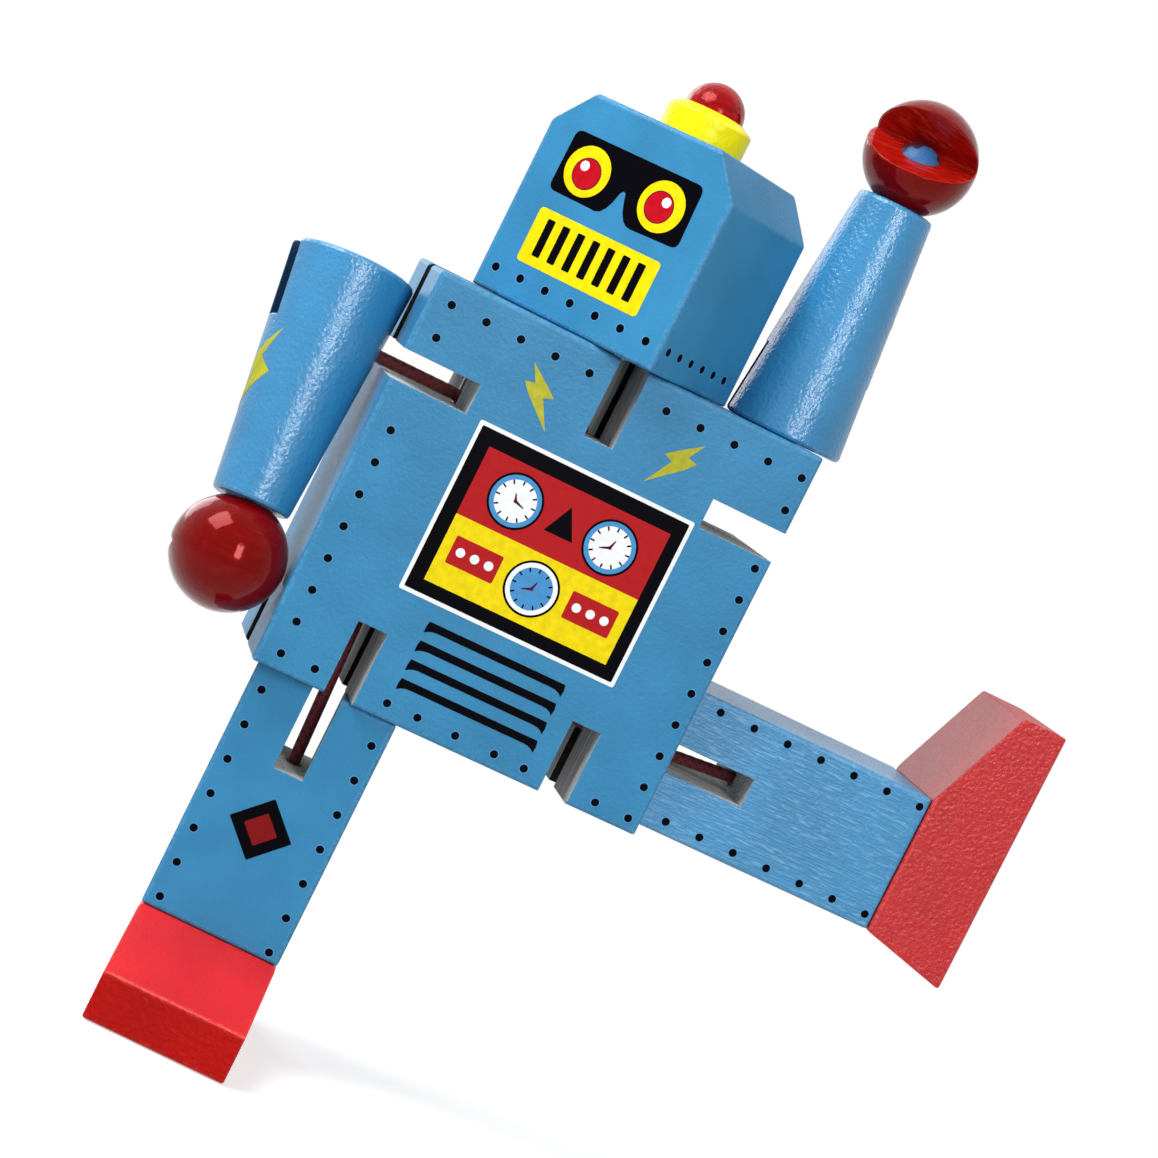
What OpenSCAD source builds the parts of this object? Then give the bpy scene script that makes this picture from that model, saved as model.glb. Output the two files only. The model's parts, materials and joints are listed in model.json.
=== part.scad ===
// Wooden robot toy: painted blocks, turned arms and ball hands threaded on elastic cord.
// It stands in the pose of the photograph, on the foot of its viewer's left leg.
// The origin is the middle of that foot's sole, +Z is up and the robot faces -Y.
// Left and right are the viewer's.

/* [Torso] */
// Width of the torso block across the shoulders
torso_w = 81; // [76:1:110]
// Height of the torso block
torso_h = 80.4; // [76:0.2:110]
// Depth of the torso block from front to back
torso_d = 36; // [32:1:48]
// Width of the slots and kerfs sawn in every block
saw_w = 6; // [5.4:0.1:7.2]
// Depth of the neck slot and of the kerf along the top and the bottom
kerf_depth = 16; // [14:0.5:18]
// Depth of the two hip slots
hip_slot_depth = 15; // [12:0.5:18]
// Length of the shoulder slots, in from the side faces
shoulder_slot_l = 15.8; // [14:0.1:17]
// Diameter of the two upright bores through the torso
side_bore_d = 4.8; // [4.2:0.1:5.4]

/* [Head] */
// Width of the head block
head_w = 43.5; // [38:0.5:43.5]
// Depth of the head block
head_d = 33.4; // [26:0.2:33.4]
// Height of the head block
head_h = 42.4; // [34:0.2:54]
// Width of the slope cut off each upper side edge of the head
head_slope_w = 7.2; // [3:0.1:9]
// Height of that slope
head_slope_h = 8.4; // [3:0.1:12]
// Turn of the head towards the viewer's left at rest, in degrees
head_turn = 41; // [0:1:60]
// Shift of the head from the middle of the torso towards the viewer's left
head_shift = 4.6; // [0:0.1:5]
// Diameter of the lamp collar on the head
collar_d = 17.2; // [15:0.2:22]
// Height of the collar's straight rim
collar_rim_h = 5.6; // [4.5:0.1:7]
// Height of the shallow cone above that rim
collar_cone_h = 1.3; // [0.8:0.1:2]
// Diameter of the lamp ball
lamp_d = 11.9; // [10:0.1:13]

/* [Arms] */
// Length of an arm
arm_l = 49.5; // [42:0.5:60]
// Diameter of an arm's wide end
arm_wide_d = 24.6; // [23:0.2:26]
// Diameter of an arm's narrow end
arm_narrow_d = 15.6; // [13:0.2:19]
// Depth of the slot in an arm's wide end
arm_slot_depth = 15.3; // [13:0.1:20]
// Distance of the raised arm's axis from the middle of the torso
raised_arm_x = 35.6; // [35.6:0.1:40]
// Forward pitch of the hanging arm at rest, in degrees
arm_pitch = 12; // [0:1:30]
// Turn of the hanging arm about its own axis at rest, in degrees
hanging_arm_turn = 7; // [0:0.5:7]
// Turn of the raised arm about its own axis at rest, in degrees
raised_arm_turn = 10; // [0:1:15]

/* [Hands] */
// Diameter of a ball hand
hand_d = 22.4; // [21:0.2:24.4]
// Depth of the flat cut into a ball where it seats on its arm
hand_flat = 1.1; // [0.8:0.1:1.8]
// Slope of the lower face of the notch that makes a hand's mouth, in degrees
mouth_low = 27; // [22:1:34]
// Slope of the notch's upper face, in degrees
mouth_high = 30; // [24:1:40]
// Diameter of the domed bead that covers the knot in a hand's mouth
bead_d = 8; // [7:0.1:8.4]
// Height of that bead
bead_h = 2.2; // [1.6:0.1:2.4]
// Turn of the raised hand's mouth towards the viewer's left at rest, in degrees
raised_hand_turn = 24; // [0:1:60]

/* [Legs] */
// Length of a leg
leg_l = 51.4; // [44:0.2:64]
// Width and depth of a leg
leg_w = 28.6; // [25:0.2:31]
// Depth of the slot in a leg's hip end
leg_slot_depth = 17.3; // [14:0.1:21]
// Step of the hanging leg's axis inwards from the bore above it
hip_step = 1.2; // [0:0.1:1.4]
// Turn of the standing leg and its foot towards the viewer's left at rest, in degrees
leg_turn = 9; // [0:0.5:9]

/* [Feet] */
// Height of a foot
foot_h = 19; // [16.8:0.2:24]
// Reach of the toe past the ankle
toe_over = 22; // [16:0.5:27]
// Reach of the heel past the ankle
heel_over = 4.9; // [2:0.1:8]
// Height of the upright front of the toe
toe_h = 9.8; // [6:0.1:13]
// Diameter of the plug in the sole
plug_d = 10; // [9:0.1:12]

/* [Cord and fits] */
// Diameter of the elastic cord
cord_d = 2.5; // [2:0.1:2.6]
// Diameter of the cord bores in the neck, head, arms, hands, legs and feet
bore_d = 4; // [3.8:0.1:4.4]
// Gap between two pieces that seat on each other and move
seat_gap = 0.1; // [0.05:0.01:0.2]
// Gap between the hanging arm and the side of the torso
side_gap = 0.3; // [0.2:0.05:0.6]
// Gap round a plug, a bead's cord or the lamp ball in its seat
fit_gap = 0.1; // [0.05:0.01:0.15]
// Radius of the softened edges of the wooden blocks
edge_r = 0.8; // [0.4:0.1:1.2]

/* [Hidden] */
$fn = 48;

// Colours of the finishes
BLUE = "#4a8fc1";
YELLOW = "#f7ee1e";
HAND_RED = "#a50f0f";
FOOT_RED = "#d8302c";
MAROON = "#4c0610";

// Levels and axes of the torso, measured from its middle
cord_r = cord_d / 2;
top_z = torso_h / 2;
side_x = torso_w / 2;
kerf_top_z = top_z - kerf_depth;
kerf_bottom_z = kerf_depth - top_z;
hip_slot_z = hip_slot_depth - top_z;
shoulder_slot_z = kerf_top_z - saw_w;
bore_inset = 1.6;
side_bore_x = side_x - shoulder_slot_l - bore_inset;
hip_slot_x = side_bore_x - 0.5;
hip_off = side_bore_x - hip_step;
raised_leg_z = kerf_bottom_z + seat_gap;

// The standing leg's axis is behind the middle of its sole
sole_shift = (toe_over - heel_over) / 2;
leg_x = sole_shift * sin(leg_turn);
leg_y = sole_shift * cos(leg_turn);
torso_z = foot_h + seat_gap + leg_l + seat_gap + top_z;

// Bends of the cord, and the rest height of the cords above the wood that they cross
bend_r = 2.6;
rim_lift = 0.073366;
shoulder_lift = 0.45;
run_gap = 0.15;

// Right hip cord: it just clears the bottom kerf's ceiling at the torso's side face, and leans
// from the bend below the right bore to the bore mouth of the raised leg
hip_edge = [side_x, 0, kerf_bottom_z - run_gap - cord_r];
hip_mouth = [side_x + seat_gap + leg_slot_depth, 0, raised_leg_z];
hip_slope = (hip_mouth.z - hip_edge.z) / (hip_mouth.x - hip_edge.x);
hip_bend_x = side_bore_x + bend_r;
hip_bend_z = hip_edge.z - hip_slope * (hip_edge.x - hip_bend_x);

// Left arm: it leans so that its wide end and its hand are as far from the torso, and the cord
// reaches it level, just above the rim of its slot's floor
shoulder_cord_z = shoulder_slot_z + cord_r + shoulder_lift;
hand_r = hand_d / 2;
hand_off = hand_r - hand_flat;
hand_up = arm_l + seat_gap + hand_off;
arm_lean = asin((arm_wide_d / 2 - hand_r) / hand_up);
pivot_up = arm_slot_depth - cord_r - rim_lift - arm_wide_d / 2 * sin(arm_lean);
left_arm_x = pivot_up * sin(arm_lean) - side_x - side_gap - arm_wide_d / 2;

// Knots and their pockets
knot_r = 2.9;
knot_h = 4;
hand_knot_r = 1.9;
hand_knot_h = 2.5;
hand_pocket_r = 2.4;
knot_room = 0.87856;

// The inner line of a hand's mouth, and the floor of the knot's pocket under the mouth's slope
mouth_y = 0.2 * hand_r;
mouth_z = 0.2 * hand_r;
hand_seat_z = mouth_z - (mouth_y + hand_knot_r) * tan(mouth_low) - hand_knot_h - knot_room;

// Pockets, plugs and the lamp
head_pocket_h = 7;
plug_h = 3;
lamp_z = 6.6;

function unit(v) = v / norm(v);

// The arc that rounds corner b of an outline, between its neighbours a and c
function corner_arc(a, b, c, r) =
    let (u = unit(a - b), v = unit(c - b), half = acos(u * v) / 2,
        reach = r / tan(half), mid = b + unit(u + v) * r / sin(half),
        p = b + u * reach - mid, q = b + v * reach - mid,
        start = atan2(p.y, p.x), sweep = atan2(p.x * q.y - p.y * q.x, p * q))
    [for (i = [0:3]) mid + r * [cos(start + sweep * i / 3), sin(start + sweep * i / 3)]];

// An outline with each corner rounded
function rounded(points, r) =
    let (n = len(points))
    [for (i = [0:n - 1])
        each corner_arc(points[(i + n - 1) % n], points[i], points[(i + 1) % n], r)];

// The outline of a rectangle about the origin
function rectangle(w, h) = [[-w / 2, -h / 2], [w / 2, -h / 2], [w / 2, h / 2], [-w / 2, h / 2]];

// The head's outline seen from the front, about the middle of its bottom edge
function head_outline() = [[-head_w / 2, 0], [head_w / 2, 0],
    [head_w / 2, head_h - head_slope_h], [head_w / 2 - head_slope_w, head_h],
    [head_slope_w - head_w / 2, head_h], [-head_w / 2, head_h - head_slope_h]];

// A foot's outline seen from the side, from the ankle down, with the toe towards +X
function foot_outline() = [[-leg_w / 2, 0], [-leg_w / 2 - heel_over, -foot_h],
    [leg_w / 2 + toe_over, -foot_h], [leg_w / 2 + toe_over, toe_h - foot_h], [leg_w / 2, 0]];

// An outline in X and Z as a block of some depth, softened along all its edges
module soft_block(outline, depth, low, high, wide) {
    mid = (low + high) / 2;
    intersection() {
        rotate([90, 0, 0]) linear_extrude(depth, center = true)
            polygon(rounded(outline, edge_r));
        translate([0, 0, low]) linear_extrude(high - low)
            polygon(rounded(rectangle(wide, depth), edge_r));
        translate([0, 0, mid]) rotate([90, 0, 90]) linear_extrude(wide, center = true)
            polygon(rounded(rectangle(depth, high - low), edge_r));
    }
}

// A box given by its lowest and its highest corner
module span(low, high) {
    translate(low) cube(high - low);
}

// A straight round bar from a to b
module bar(a, b, r) {
    d = b - a;
    translate(a) rotate([0, acos(d.z / norm(d)), atan2(d.y, d.x)]) cylinder(norm(d), r = r);
}

// A quarter bend of cord from straight down at the origin to level towards +X
module cord_bend() {
    translate([bend_r, 0, 0]) rotate([90, 0, 0]) rotate([0, 0, 180])
        rotate_extrude(angle = 90) translate([bend_r, 0]) circle(cord_r);
}

// The places of the pieces

module at_torso() translate([leg_x + hip_off, leg_y, torso_z]) children();

module at_head() at_torso()
    translate([-head_shift, 0, top_z + seat_gap]) rotate([0, 0, -head_turn]) children();

// An arm's own frame has +Z from the middle of its wide end towards its hand
module at_left_arm() at_torso()
    translate([left_arm_x, 0, shoulder_cord_z]) rotate([-arm_pitch, 0, 0])
        rotate([0, -arm_lean, 0]) rotate([180, 0, 0]) translate([0, 0, -pivot_up]) children();

module at_right_arm() at_torso()
    translate([raised_arm_x, 0, top_z + seat_gap]) children();

// A hand's own frame has its origin in the ball's middle and its mouth towards -Y
module at_left_hand() at_left_arm() translate([0, 0, hand_up]) children();

module at_right_hand() at_right_arm()
    translate([0, 0, hand_up]) rotate([0, 0, -raised_hand_turn]) children();

// A leg's own frame has +Z from the middle of its hip end towards its foot
module at_left_leg() at_torso()
    translate([-hip_off, 0, -top_z - seat_gap]) rotate([180, 0, -leg_turn]) children();

module at_right_leg() at_torso()
    translate([side_x + seat_gap, 0, raised_leg_z]) rotate([0, 90, 0]) children();

// A foot's own frame has its ankle face at the origin, its sole below and its toe at +X
module at_left_foot() at_left_leg()
    translate([0, 0, leg_l + seat_gap]) rotate([180, 0, 90]) children();

module at_right_foot() at_right_leg()
    translate([0, 0, leg_l + seat_gap]) rotate([180, 0, 180]) children();

// Shapes that two pieces share

module arm_shape() {
    difference() {
        rotate_extrude() polygon([[0, 0], [arm_wide_d / 2 - edge_r, 0],
            [arm_wide_d / 2 - edge_r * 0.3, edge_r * 0.3], [arm_wide_d / 2, edge_r],
            [arm_narrow_d / 2, arm_l - edge_r],
            [arm_narrow_d / 2 - edge_r * 0.3, arm_l - edge_r * 0.3],
            [arm_narrow_d / 2 - edge_r, arm_l], [0, arm_l]]);
        span([-arm_wide_d, -saw_w / 2, -1], [arm_wide_d, saw_w / 2, arm_slot_depth]);
        translate([0, 0, arm_slot_depth - 1]) cylinder(arm_l, d = bore_d);
    }
}

// The ball with a notch across it for a mouth, open towards -Y, and flat where it meets the
// arm. The cord's knot sits in a pocket that opens in the notch's lower face.
module hand_shape() {
    difference() {
        sphere(hand_r, $fn = 96);
        span([-hand_r, -hand_r, -hand_r - 1], [hand_r, hand_r, -hand_off]);
        translate([0, 0, -hand_r]) cylinder(hand_r, d = bore_d);
        translate([0, 0, hand_seat_z]) cylinder(mouth_z - hand_seat_z, r = hand_pocket_r);
        translate([0, mouth_y, mouth_z]) rotate([90, 0, 90])
            linear_extrude(hand_d + 2, center = true)
                polygon([[0, 0], hand_d * [-2, -2 * tan(mouth_low)],
                    hand_d * [-2, 2 * tan(mouth_high)]]);
    }
}

// A domed bead that lies on the mouth's lower face, over the knot's pocket
module bead_shape() {
    cap_r = (bead_d * bead_d / 4 + bead_h * bead_h) / (2 * bead_h);
    translate([0, mouth_y, mouth_z]) rotate([mouth_low, 0, 0])
        translate([0, -bead_d / 2 - 2 * fit_gap, fit_gap / 2]) difference() {
            translate([0, 0, bead_h - cap_r]) sphere(cap_r, $fn = 96);
            span([-bead_d, -bead_d, -2 * bead_d], [bead_d, bead_d, 0]);
        }
}

// A pulled knot: a round bun of cord with its short cut end
module knot_shape(r, h) {
    side = h / 2;
    rotate_extrude() intersection() {
        union() {
            translate([r - side, side]) circle(side);
            square([r - side, h]);
        }
        square([r, h]);
    }
    translate([0, 0, h - 0.2]) cylinder(cord_r, r = cord_r * 0.7);
}

module leg_shape() {
    difference() {
        soft_block([[-leg_w / 2, 0], [leg_w / 2, 0], [leg_w / 2, leg_l], [-leg_w / 2, leg_l]],
            leg_w, 0, leg_l, leg_w);
        span([-saw_w / 2, -leg_w, -1], [saw_w / 2, leg_w, leg_slot_depth]);
        cylinder(leg_l + 1, d = bore_d);
    }
}

module foot_shape() {
    pocket = plug_h + knot_h + cord_r;
    wide = 2 * leg_w + 2 * toe_over;
    difference() {
        intersection() {
            rotate([90, 0, 0]) linear_extrude(leg_w, center = true)
                polygon(rounded(foot_outline(), edge_r));
            translate([0, 0, -foot_h / 2]) rotate([90, 0, 90])
                linear_extrude(wide, center = true)
                    polygon(rounded(rectangle(leg_w, foot_h), edge_r));
        }
        translate([0, 0, -foot_h]) cylinder(foot_h + 1, d = bore_d);
        translate([0, 0, -foot_h - 1]) cylinder(pocket + 1, d = plug_d + 2 * fit_gap);
    }
}

// The knot hangs on the floor of the foot's pocket, above the plug
module foot_knot_shape() {
    translate([0, 0, plug_h + knot_h + cord_r - foot_h]) rotate([180, 0, 0])
        knot_shape(knot_r, knot_h);
}

module plug_shape() {
    translate([0, 0, -foot_h]) cylinder(plug_h, d = plug_d);
}

// Cord from a leg's bore mouth to the knot in its foot
module leg_cord_shape() {
    pocket = plug_h + knot_h + cord_r;
    translate([0, 0, leg_slot_depth])
        cylinder(leg_l + seat_gap + foot_h - pocket - leg_slot_depth, r = cord_r);
}

// Torso

module torso_block() color(BLUE) at_torso() difference() {
    soft_block([[-side_x, -top_z], [side_x, -top_z], [side_x, top_z], [-side_x, top_z]],
        torso_d, -top_z, top_z, torso_w);
    // Kerfs along the top and the bottom
    for (z = [kerf_top_z, -top_z - 1])
        span([-torso_w, -saw_w / 2, z], [torso_w, saw_w / 2, z + kerf_depth + 1]);
    // Neck slot and hip slots, from front to back
    span([-saw_w / 2, -torso_d, kerf_top_z], [saw_w / 2, torso_d, torso_h]);
    for (side = [-1, 1]) {
        x = side * hip_slot_x;
        span([x - saw_w / 2, -torso_d, -torso_h], [x + saw_w / 2, torso_d, hip_slot_z]);
        // Shoulder slot, open at the side
        translate([side * side_x, 0, shoulder_slot_z + saw_w / 2])
            cube([2 * shoulder_slot_l, 2 * torso_d, saw_w], center = true);
        // Upright bore from the hip slot to the kerf above
        translate([side * side_bore_x, 0, hip_slot_z - 0.5])
            cylinder(kerf_top_z - hip_slot_z + 1, d = side_bore_d);
    }
    translate([0, 0, -top_z]) cylinder(torso_h, d = bore_d);
}

// The cord in the left bore, bent out level into the shoulder slot
module left_side_cord() color(MAROON) at_torso() {
    low = kerf_bottom_z - run_gap;
    bend = shoulder_cord_z - bend_r;
    translate([-side_bore_x, 0, low]) cylinder(bend - low, r = cord_r);
    translate([-side_bore_x, 0, bend]) rotate([180, 0, 180]) cord_bend();
}

// The cord in the right bore, bent out level into the bottom kerf
module right_side_cord() color(MAROON) at_torso() {
    low = hip_bend_z + bend_r;
    translate([side_bore_x, 0, low]) cylinder(kerf_top_z - low, r = cord_r);
    translate([side_bore_x, 0, low]) cord_bend();
}

module neck_cord() color(MAROON) at_torso()
    translate([0, 0, kerf_bottom_z]) cylinder(kerf_top_z - kerf_bottom_z, r = cord_r);

module neck_knot() color(MAROON) at_torso()
    translate([0, 0, kerf_bottom_z]) rotate([180, 0, 0]) knot_shape(saw_w / 2 - 0.3, knot_h);

// Head

// The cord that leans from the middle bore to the head's bore
module neck_stretch_cord() color(MAROON) at_torso() intersection() {
    foot = [0, 0, kerf_top_z];
    head = [-head_shift, 0, top_z + seat_gap];
    bar(foot - 0.2 * (head - foot), head + 0.2 * (head - foot), cord_r);
    span([-side_x, -saw_w, kerf_top_z + run_gap], [side_x, saw_w, top_z - run_gap]);
}

module head_block() color(BLUE) at_head() difference() {
    soft_block(head_outline(), head_d, 0, head_h, head_w);
    translate([0, 0, -1]) cylinder(head_h, d = bore_d);
    translate([0, 0, head_h - head_pocket_h]) cylinder(head_pocket_h + 1, r = knot_r + 1);
}

module head_cord() color(MAROON) at_head() cylinder(head_h - head_pocket_h, r = cord_r);

module head_knot() color(MAROON) at_head()
    translate([0, 0, head_h - head_pocket_h]) knot_shape(knot_r, knot_h);

module lamp_collar() color(YELLOW) at_head() translate([0, 0, head_h]) difference() {
    rotate_extrude($fn = 96) polygon([[0, 0], [collar_d / 2, 0],
        [collar_d / 2, collar_rim_h - 0.4], [collar_d / 2 - 0.4, collar_rim_h],
        [lamp_d / 2 - 0.1, collar_rim_h + collar_cone_h], [0, collar_rim_h + collar_cone_h]]);
    translate([0, 0, lamp_z]) sphere(lamp_d / 2 + fit_gap, $fn = 96);
}

module lamp_ball() color(HAND_RED) at_head()
    translate([0, 0, head_h + lamp_z]) sphere(d = lamp_d, $fn = 96);

// Arms

module left_arm() color(BLUE) at_left_arm()
    rotate([0, 0, -hanging_arm_turn]) arm_shape($fn = 96);

module right_arm() color(BLUE) at_right_arm()
    rotate([0, 0, -raised_arm_turn]) arm_shape($fn = 96);

// From the level shoulder cord round a bend and along the arm to the knot in the hand
module left_arm_cord() color(MAROON) at_left_arm() {
    rise = pivot_up + bend_r;
    translate([0, 0, rise]) cylinder(hand_up + hand_seat_z - rise, r = cord_r);
    translate([0, 0, rise]) cord_bend();
}

module right_arm_cord() color(MAROON) at_right_arm() {
    translate([0, 0, arm_slot_depth])
        cylinder(hand_up + hand_seat_z - arm_slot_depth, r = cord_r);
}

module left_shoulder_cord() color(MAROON) at_torso() {
    inner = -side_bore_x - bend_r - run_gap;
    outer = left_arm_x + bend_r + run_gap;
    translate([outer, 0, shoulder_cord_z]) rotate([0, 90, 0])
        cylinder(inner - outer, r = cord_r);
}

// The cord that leans from the right bore to the raised arm's bore
module right_shoulder_cord() color(MAROON) at_torso() intersection() {
    foot = [side_bore_x, 0, kerf_top_z];
    mouth = [raised_arm_x, 0, top_z + seat_gap + arm_slot_depth];
    bar(foot - 0.2 * (mouth - foot), mouth + 0.2 * (mouth - foot), cord_r);
    span([0, -saw_w, kerf_top_z + run_gap], [torso_w, saw_w, mouth.z - run_gap]);
}

// Hands

module left_hand_ball() color(HAND_RED) at_left_hand() hand_shape();

module right_hand_ball() color(HAND_RED) at_right_hand() hand_shape();

module left_hand_bead() color(BLUE) at_left_hand() bead_shape();

module right_hand_bead() color(BLUE) at_right_hand() bead_shape();

module hand_knot_shape() translate([0, 0, hand_seat_z]) knot_shape(hand_knot_r, hand_knot_h);

module left_hand_knot() color(MAROON) at_left_hand() hand_knot_shape();

module right_hand_knot() color(MAROON) at_right_hand() hand_knot_shape();

// Legs

module left_leg() color(BLUE) at_left_leg() leg_shape();

module right_leg() color(BLUE) at_right_leg() leg_shape();

module left_leg_cord() color(MAROON) at_left_leg() leg_cord_shape();

module right_leg_cord() color(MAROON) at_right_leg() leg_cord_shape();

// Down from the left bore, through the hip slot and the leg's slot
module left_hip_cord() color(MAROON) at_torso() intersection() {
    head = [-side_bore_x, 0, kerf_bottom_z];
    mouth = [-hip_off, 0, -top_z - seat_gap - leg_slot_depth];
    bar(head - 0.2 * (mouth - head), mouth + 0.2 * (mouth - head), cord_r);
    span([-torso_w, -saw_w, mouth.z + run_gap], [0, saw_w, head.z - 2 * run_gap]);
}

// Out along the bottom kerf and up a little to the bore of the raised leg
module right_hip_cord() color(MAROON) at_torso() intersection() {
    bend = [hip_bend_x, 0, hip_bend_z];
    bar(bend - 0.2 * (hip_mouth - bend), hip_mouth + 0.2 * (hip_mouth - bend), cord_r);
    span([bend.x + run_gap, -saw_w, -torso_h], [hip_mouth.x - run_gap, saw_w, 0]);
}

// Feet

module left_foot() color(FOOT_RED) at_left_foot() foot_shape();

module right_foot() color(FOOT_RED) at_right_foot() foot_shape();

module left_foot_knot() color(MAROON) at_left_foot() foot_knot_shape();

module right_foot_knot() color(MAROON) at_right_foot() foot_knot_shape();

module left_sole_plug() color(FOOT_RED) at_left_foot() plug_shape();

module right_sole_plug() color(FOOT_RED) at_right_foot() plug_shape();

torso_block();
left_side_cord();
right_side_cord();
neck_cord();
neck_knot();
neck_stretch_cord();
head_block();
head_cord();
head_knot();
lamp_collar();
lamp_ball();
left_arm();
right_arm();
left_arm_cord();
right_arm_cord();
left_shoulder_cord();
right_shoulder_cord();
left_hand_ball();
right_hand_ball();
left_hand_bead();
right_hand_bead();
left_hand_knot();
right_hand_knot();
left_leg();
right_leg();
left_leg_cord();
right_leg_cord();
left_hip_cord();
right_hip_cord();
left_foot();
right_foot();
left_foot_knot();
right_foot_knot();
left_sole_plug();
right_sole_plug();
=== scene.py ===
"""The looks of a wooden robot toy: sawn and painted blocks, turned arms and ball hands on
elastic cord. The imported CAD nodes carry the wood; this script dresses them, prints the
dials, rivets and face on them, and lays the braided cord where the CAD has plain bars."""

import json
import logging
import math
import sys
from dataclasses import dataclass, field, replace
from enum import Enum
from functools import cached_property, partial
from typing import Callable, Sequence

import bpy
from bpy.types import ID, Material, Node, NodeSocket, NodeTree, Object
from mathutils import Matrix, Vector

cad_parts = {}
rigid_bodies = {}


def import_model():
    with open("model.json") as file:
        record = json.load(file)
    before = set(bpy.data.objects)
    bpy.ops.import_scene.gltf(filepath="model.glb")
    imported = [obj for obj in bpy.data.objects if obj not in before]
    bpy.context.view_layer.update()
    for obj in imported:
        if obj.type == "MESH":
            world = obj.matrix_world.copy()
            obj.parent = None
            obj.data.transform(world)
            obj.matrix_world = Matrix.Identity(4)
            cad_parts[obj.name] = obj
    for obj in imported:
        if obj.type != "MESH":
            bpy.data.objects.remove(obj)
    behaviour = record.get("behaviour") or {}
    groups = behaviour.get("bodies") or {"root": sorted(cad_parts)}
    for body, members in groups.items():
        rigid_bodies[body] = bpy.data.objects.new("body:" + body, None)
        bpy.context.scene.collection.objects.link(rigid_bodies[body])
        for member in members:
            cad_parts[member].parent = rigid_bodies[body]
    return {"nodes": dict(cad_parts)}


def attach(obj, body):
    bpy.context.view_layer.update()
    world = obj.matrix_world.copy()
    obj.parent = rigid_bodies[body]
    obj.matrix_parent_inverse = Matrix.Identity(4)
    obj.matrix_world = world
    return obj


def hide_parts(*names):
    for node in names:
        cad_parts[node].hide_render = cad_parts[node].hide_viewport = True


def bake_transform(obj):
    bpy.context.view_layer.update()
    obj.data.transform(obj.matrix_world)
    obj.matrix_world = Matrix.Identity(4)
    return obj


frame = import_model()

log = logging.getLogger("robot")
MM = 0.001
Pair = tuple[float, float]
Triple = tuple[float, float, float]
Sockets = dict[int | str, object]


# Small tools


def linear(code: str) -> tuple[float, float, float, float]:
    """Turns a colour as written, sRGB hex, into the linear values that shaders use.

    Args:
        code: six hex digits after a hash.

    Returns:
        Red, green, blue and alpha, linear.
    """
    parts = [int(code[i : i + 2], 16) / 255 for i in (1, 3, 5)]
    r, g, b = (c / 12.92 if c <= 0.04045 else ((c + 0.055) / 1.055) ** 2.4 for c in parts)
    return (r, g, b, 1.0)


def add_node(tree: NodeTree, kind: str, sockets: Sockets | None = None, **settings: object) -> Node:
    """Adds a shader node with its settings, its constant sockets and its links.

    Args:
        tree: the node tree that it goes into.
        kind: the node's type name, without ShaderNode before it.
        sockets: input name or number to a constant, to the output that feeds it, or to a node
            whose first output in use feeds it.
        settings: the node's own properties.

    Returns:
        The new node.
    """
    node = tree.nodes.new(f"ShaderNode{kind}")
    for name, value in settings.items():
        setattr(node, name, value)
    for name, value in (sockets or {}).items():
        if isinstance(value, Node):
            value = next(output for output in value.outputs if output.enabled)
        if isinstance(value, NodeSocket):
            tree.links.new(value, node.inputs[name])
        else:
            node.inputs[name].default_value = value
    return node


def new_material(name: str) -> Material:
    """A new material whose node tree is still empty.

    Args:
        name: the material's name.

    Returns:
        The material.
    """
    material = bpy.data.materials.new(name)
    material.use_nodes = True
    material.node_tree.nodes.clear()
    return material


def add_object(name: str, data: ID) -> Object:
    """Puts a new object with the given data into the scene.

    Args:
        name: the object's name.
        data: its mesh, lamp or camera.

    Returns:
        The object.
    """
    obj = bpy.data.objects.new(name, data)
    bpy.context.scene.collection.objects.link(obj)
    return obj


def deselect() -> None:
    """Leaves nothing selected, because an operator acts on all that is."""
    for obj in bpy.context.view_layer.objects:
        obj.select_set(False)


def pick(*objects: Object) -> None:
    """Selects these objects and no other, and makes the first one active.

    Args:
        objects: the objects.
    """
    deselect()
    for obj in objects:
        obj.select_set(True)
    bpy.context.view_layer.objects.active = objects[0]


def settle(obj: Object) -> None:
    """Puts obj's place into its mesh, so that its object sits at the origin, unturned."""
    pick(obj)
    bpy.ops.object.transform_apply(location=True, rotation=True, scale=True)


def edit(obj: Object, *steps: Callable[[], object]) -> None:
    """Runs edit-mode operators in order, the first of them on the whole mesh.

    Args:
        obj: the piece.
        steps: the operators, as calls without arguments.
    """
    pick(obj)
    bpy.ops.object.mode_set(mode="EDIT")
    bpy.ops.mesh.select_all(action="SELECT")
    for step in steps:
        step()
    bpy.ops.object.mode_set(mode="OBJECT")


def join(name: str, parts: Sequence[Object]) -> Object:
    """Joins pieces into one under a name.

    Args:
        name: the joined piece's name.
        parts: the pieces, the first of which stays.

    Returns:
        The joined piece.
    """
    pick(*parts)
    if len(parts) > 1:
        bpy.ops.object.join()
    parts[0].name = parts[0].data.name = name
    return parts[0]


# Finishes


class GrainWay(Enum):
    """Which way the wood of a block runs, as the turn that brings it to X."""

    UPRIGHT = (0.0, math.radians(90), 0.0)
    ACROSS = (0.0, 0.0, 0.0)
    FRONT_TO_BACK = (0.0, 0.0, math.radians(90))


@dataclass(frozen=True)
class Finish:
    """A surface finish: get() hands out its material, and surface() says what it is made of."""

    name: str
    colour: str

    def get(self) -> Material:
        """The finish's material, made at the first call."""
        return bpy.data.materials.get(self.name) or self.build()

    def build(self) -> Material:
        """Makes the material round a Principled surface.

        Returns:
            The material.
        """
        material = new_material(self.name)
        tree = material.node_tree
        surface = add_node(tree, "BsdfPrincipled", self.surface(tree))
        add_node(tree, "OutputMaterial", {"Surface": surface}, is_active_output=True)
        material.diffuse_color = linear(self.colour)
        return material

    def surface(self, tree: NodeTree) -> Sockets:
        """What goes into the surface's sockets; each finish has its own."""
        raise NotImplementedError


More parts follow.
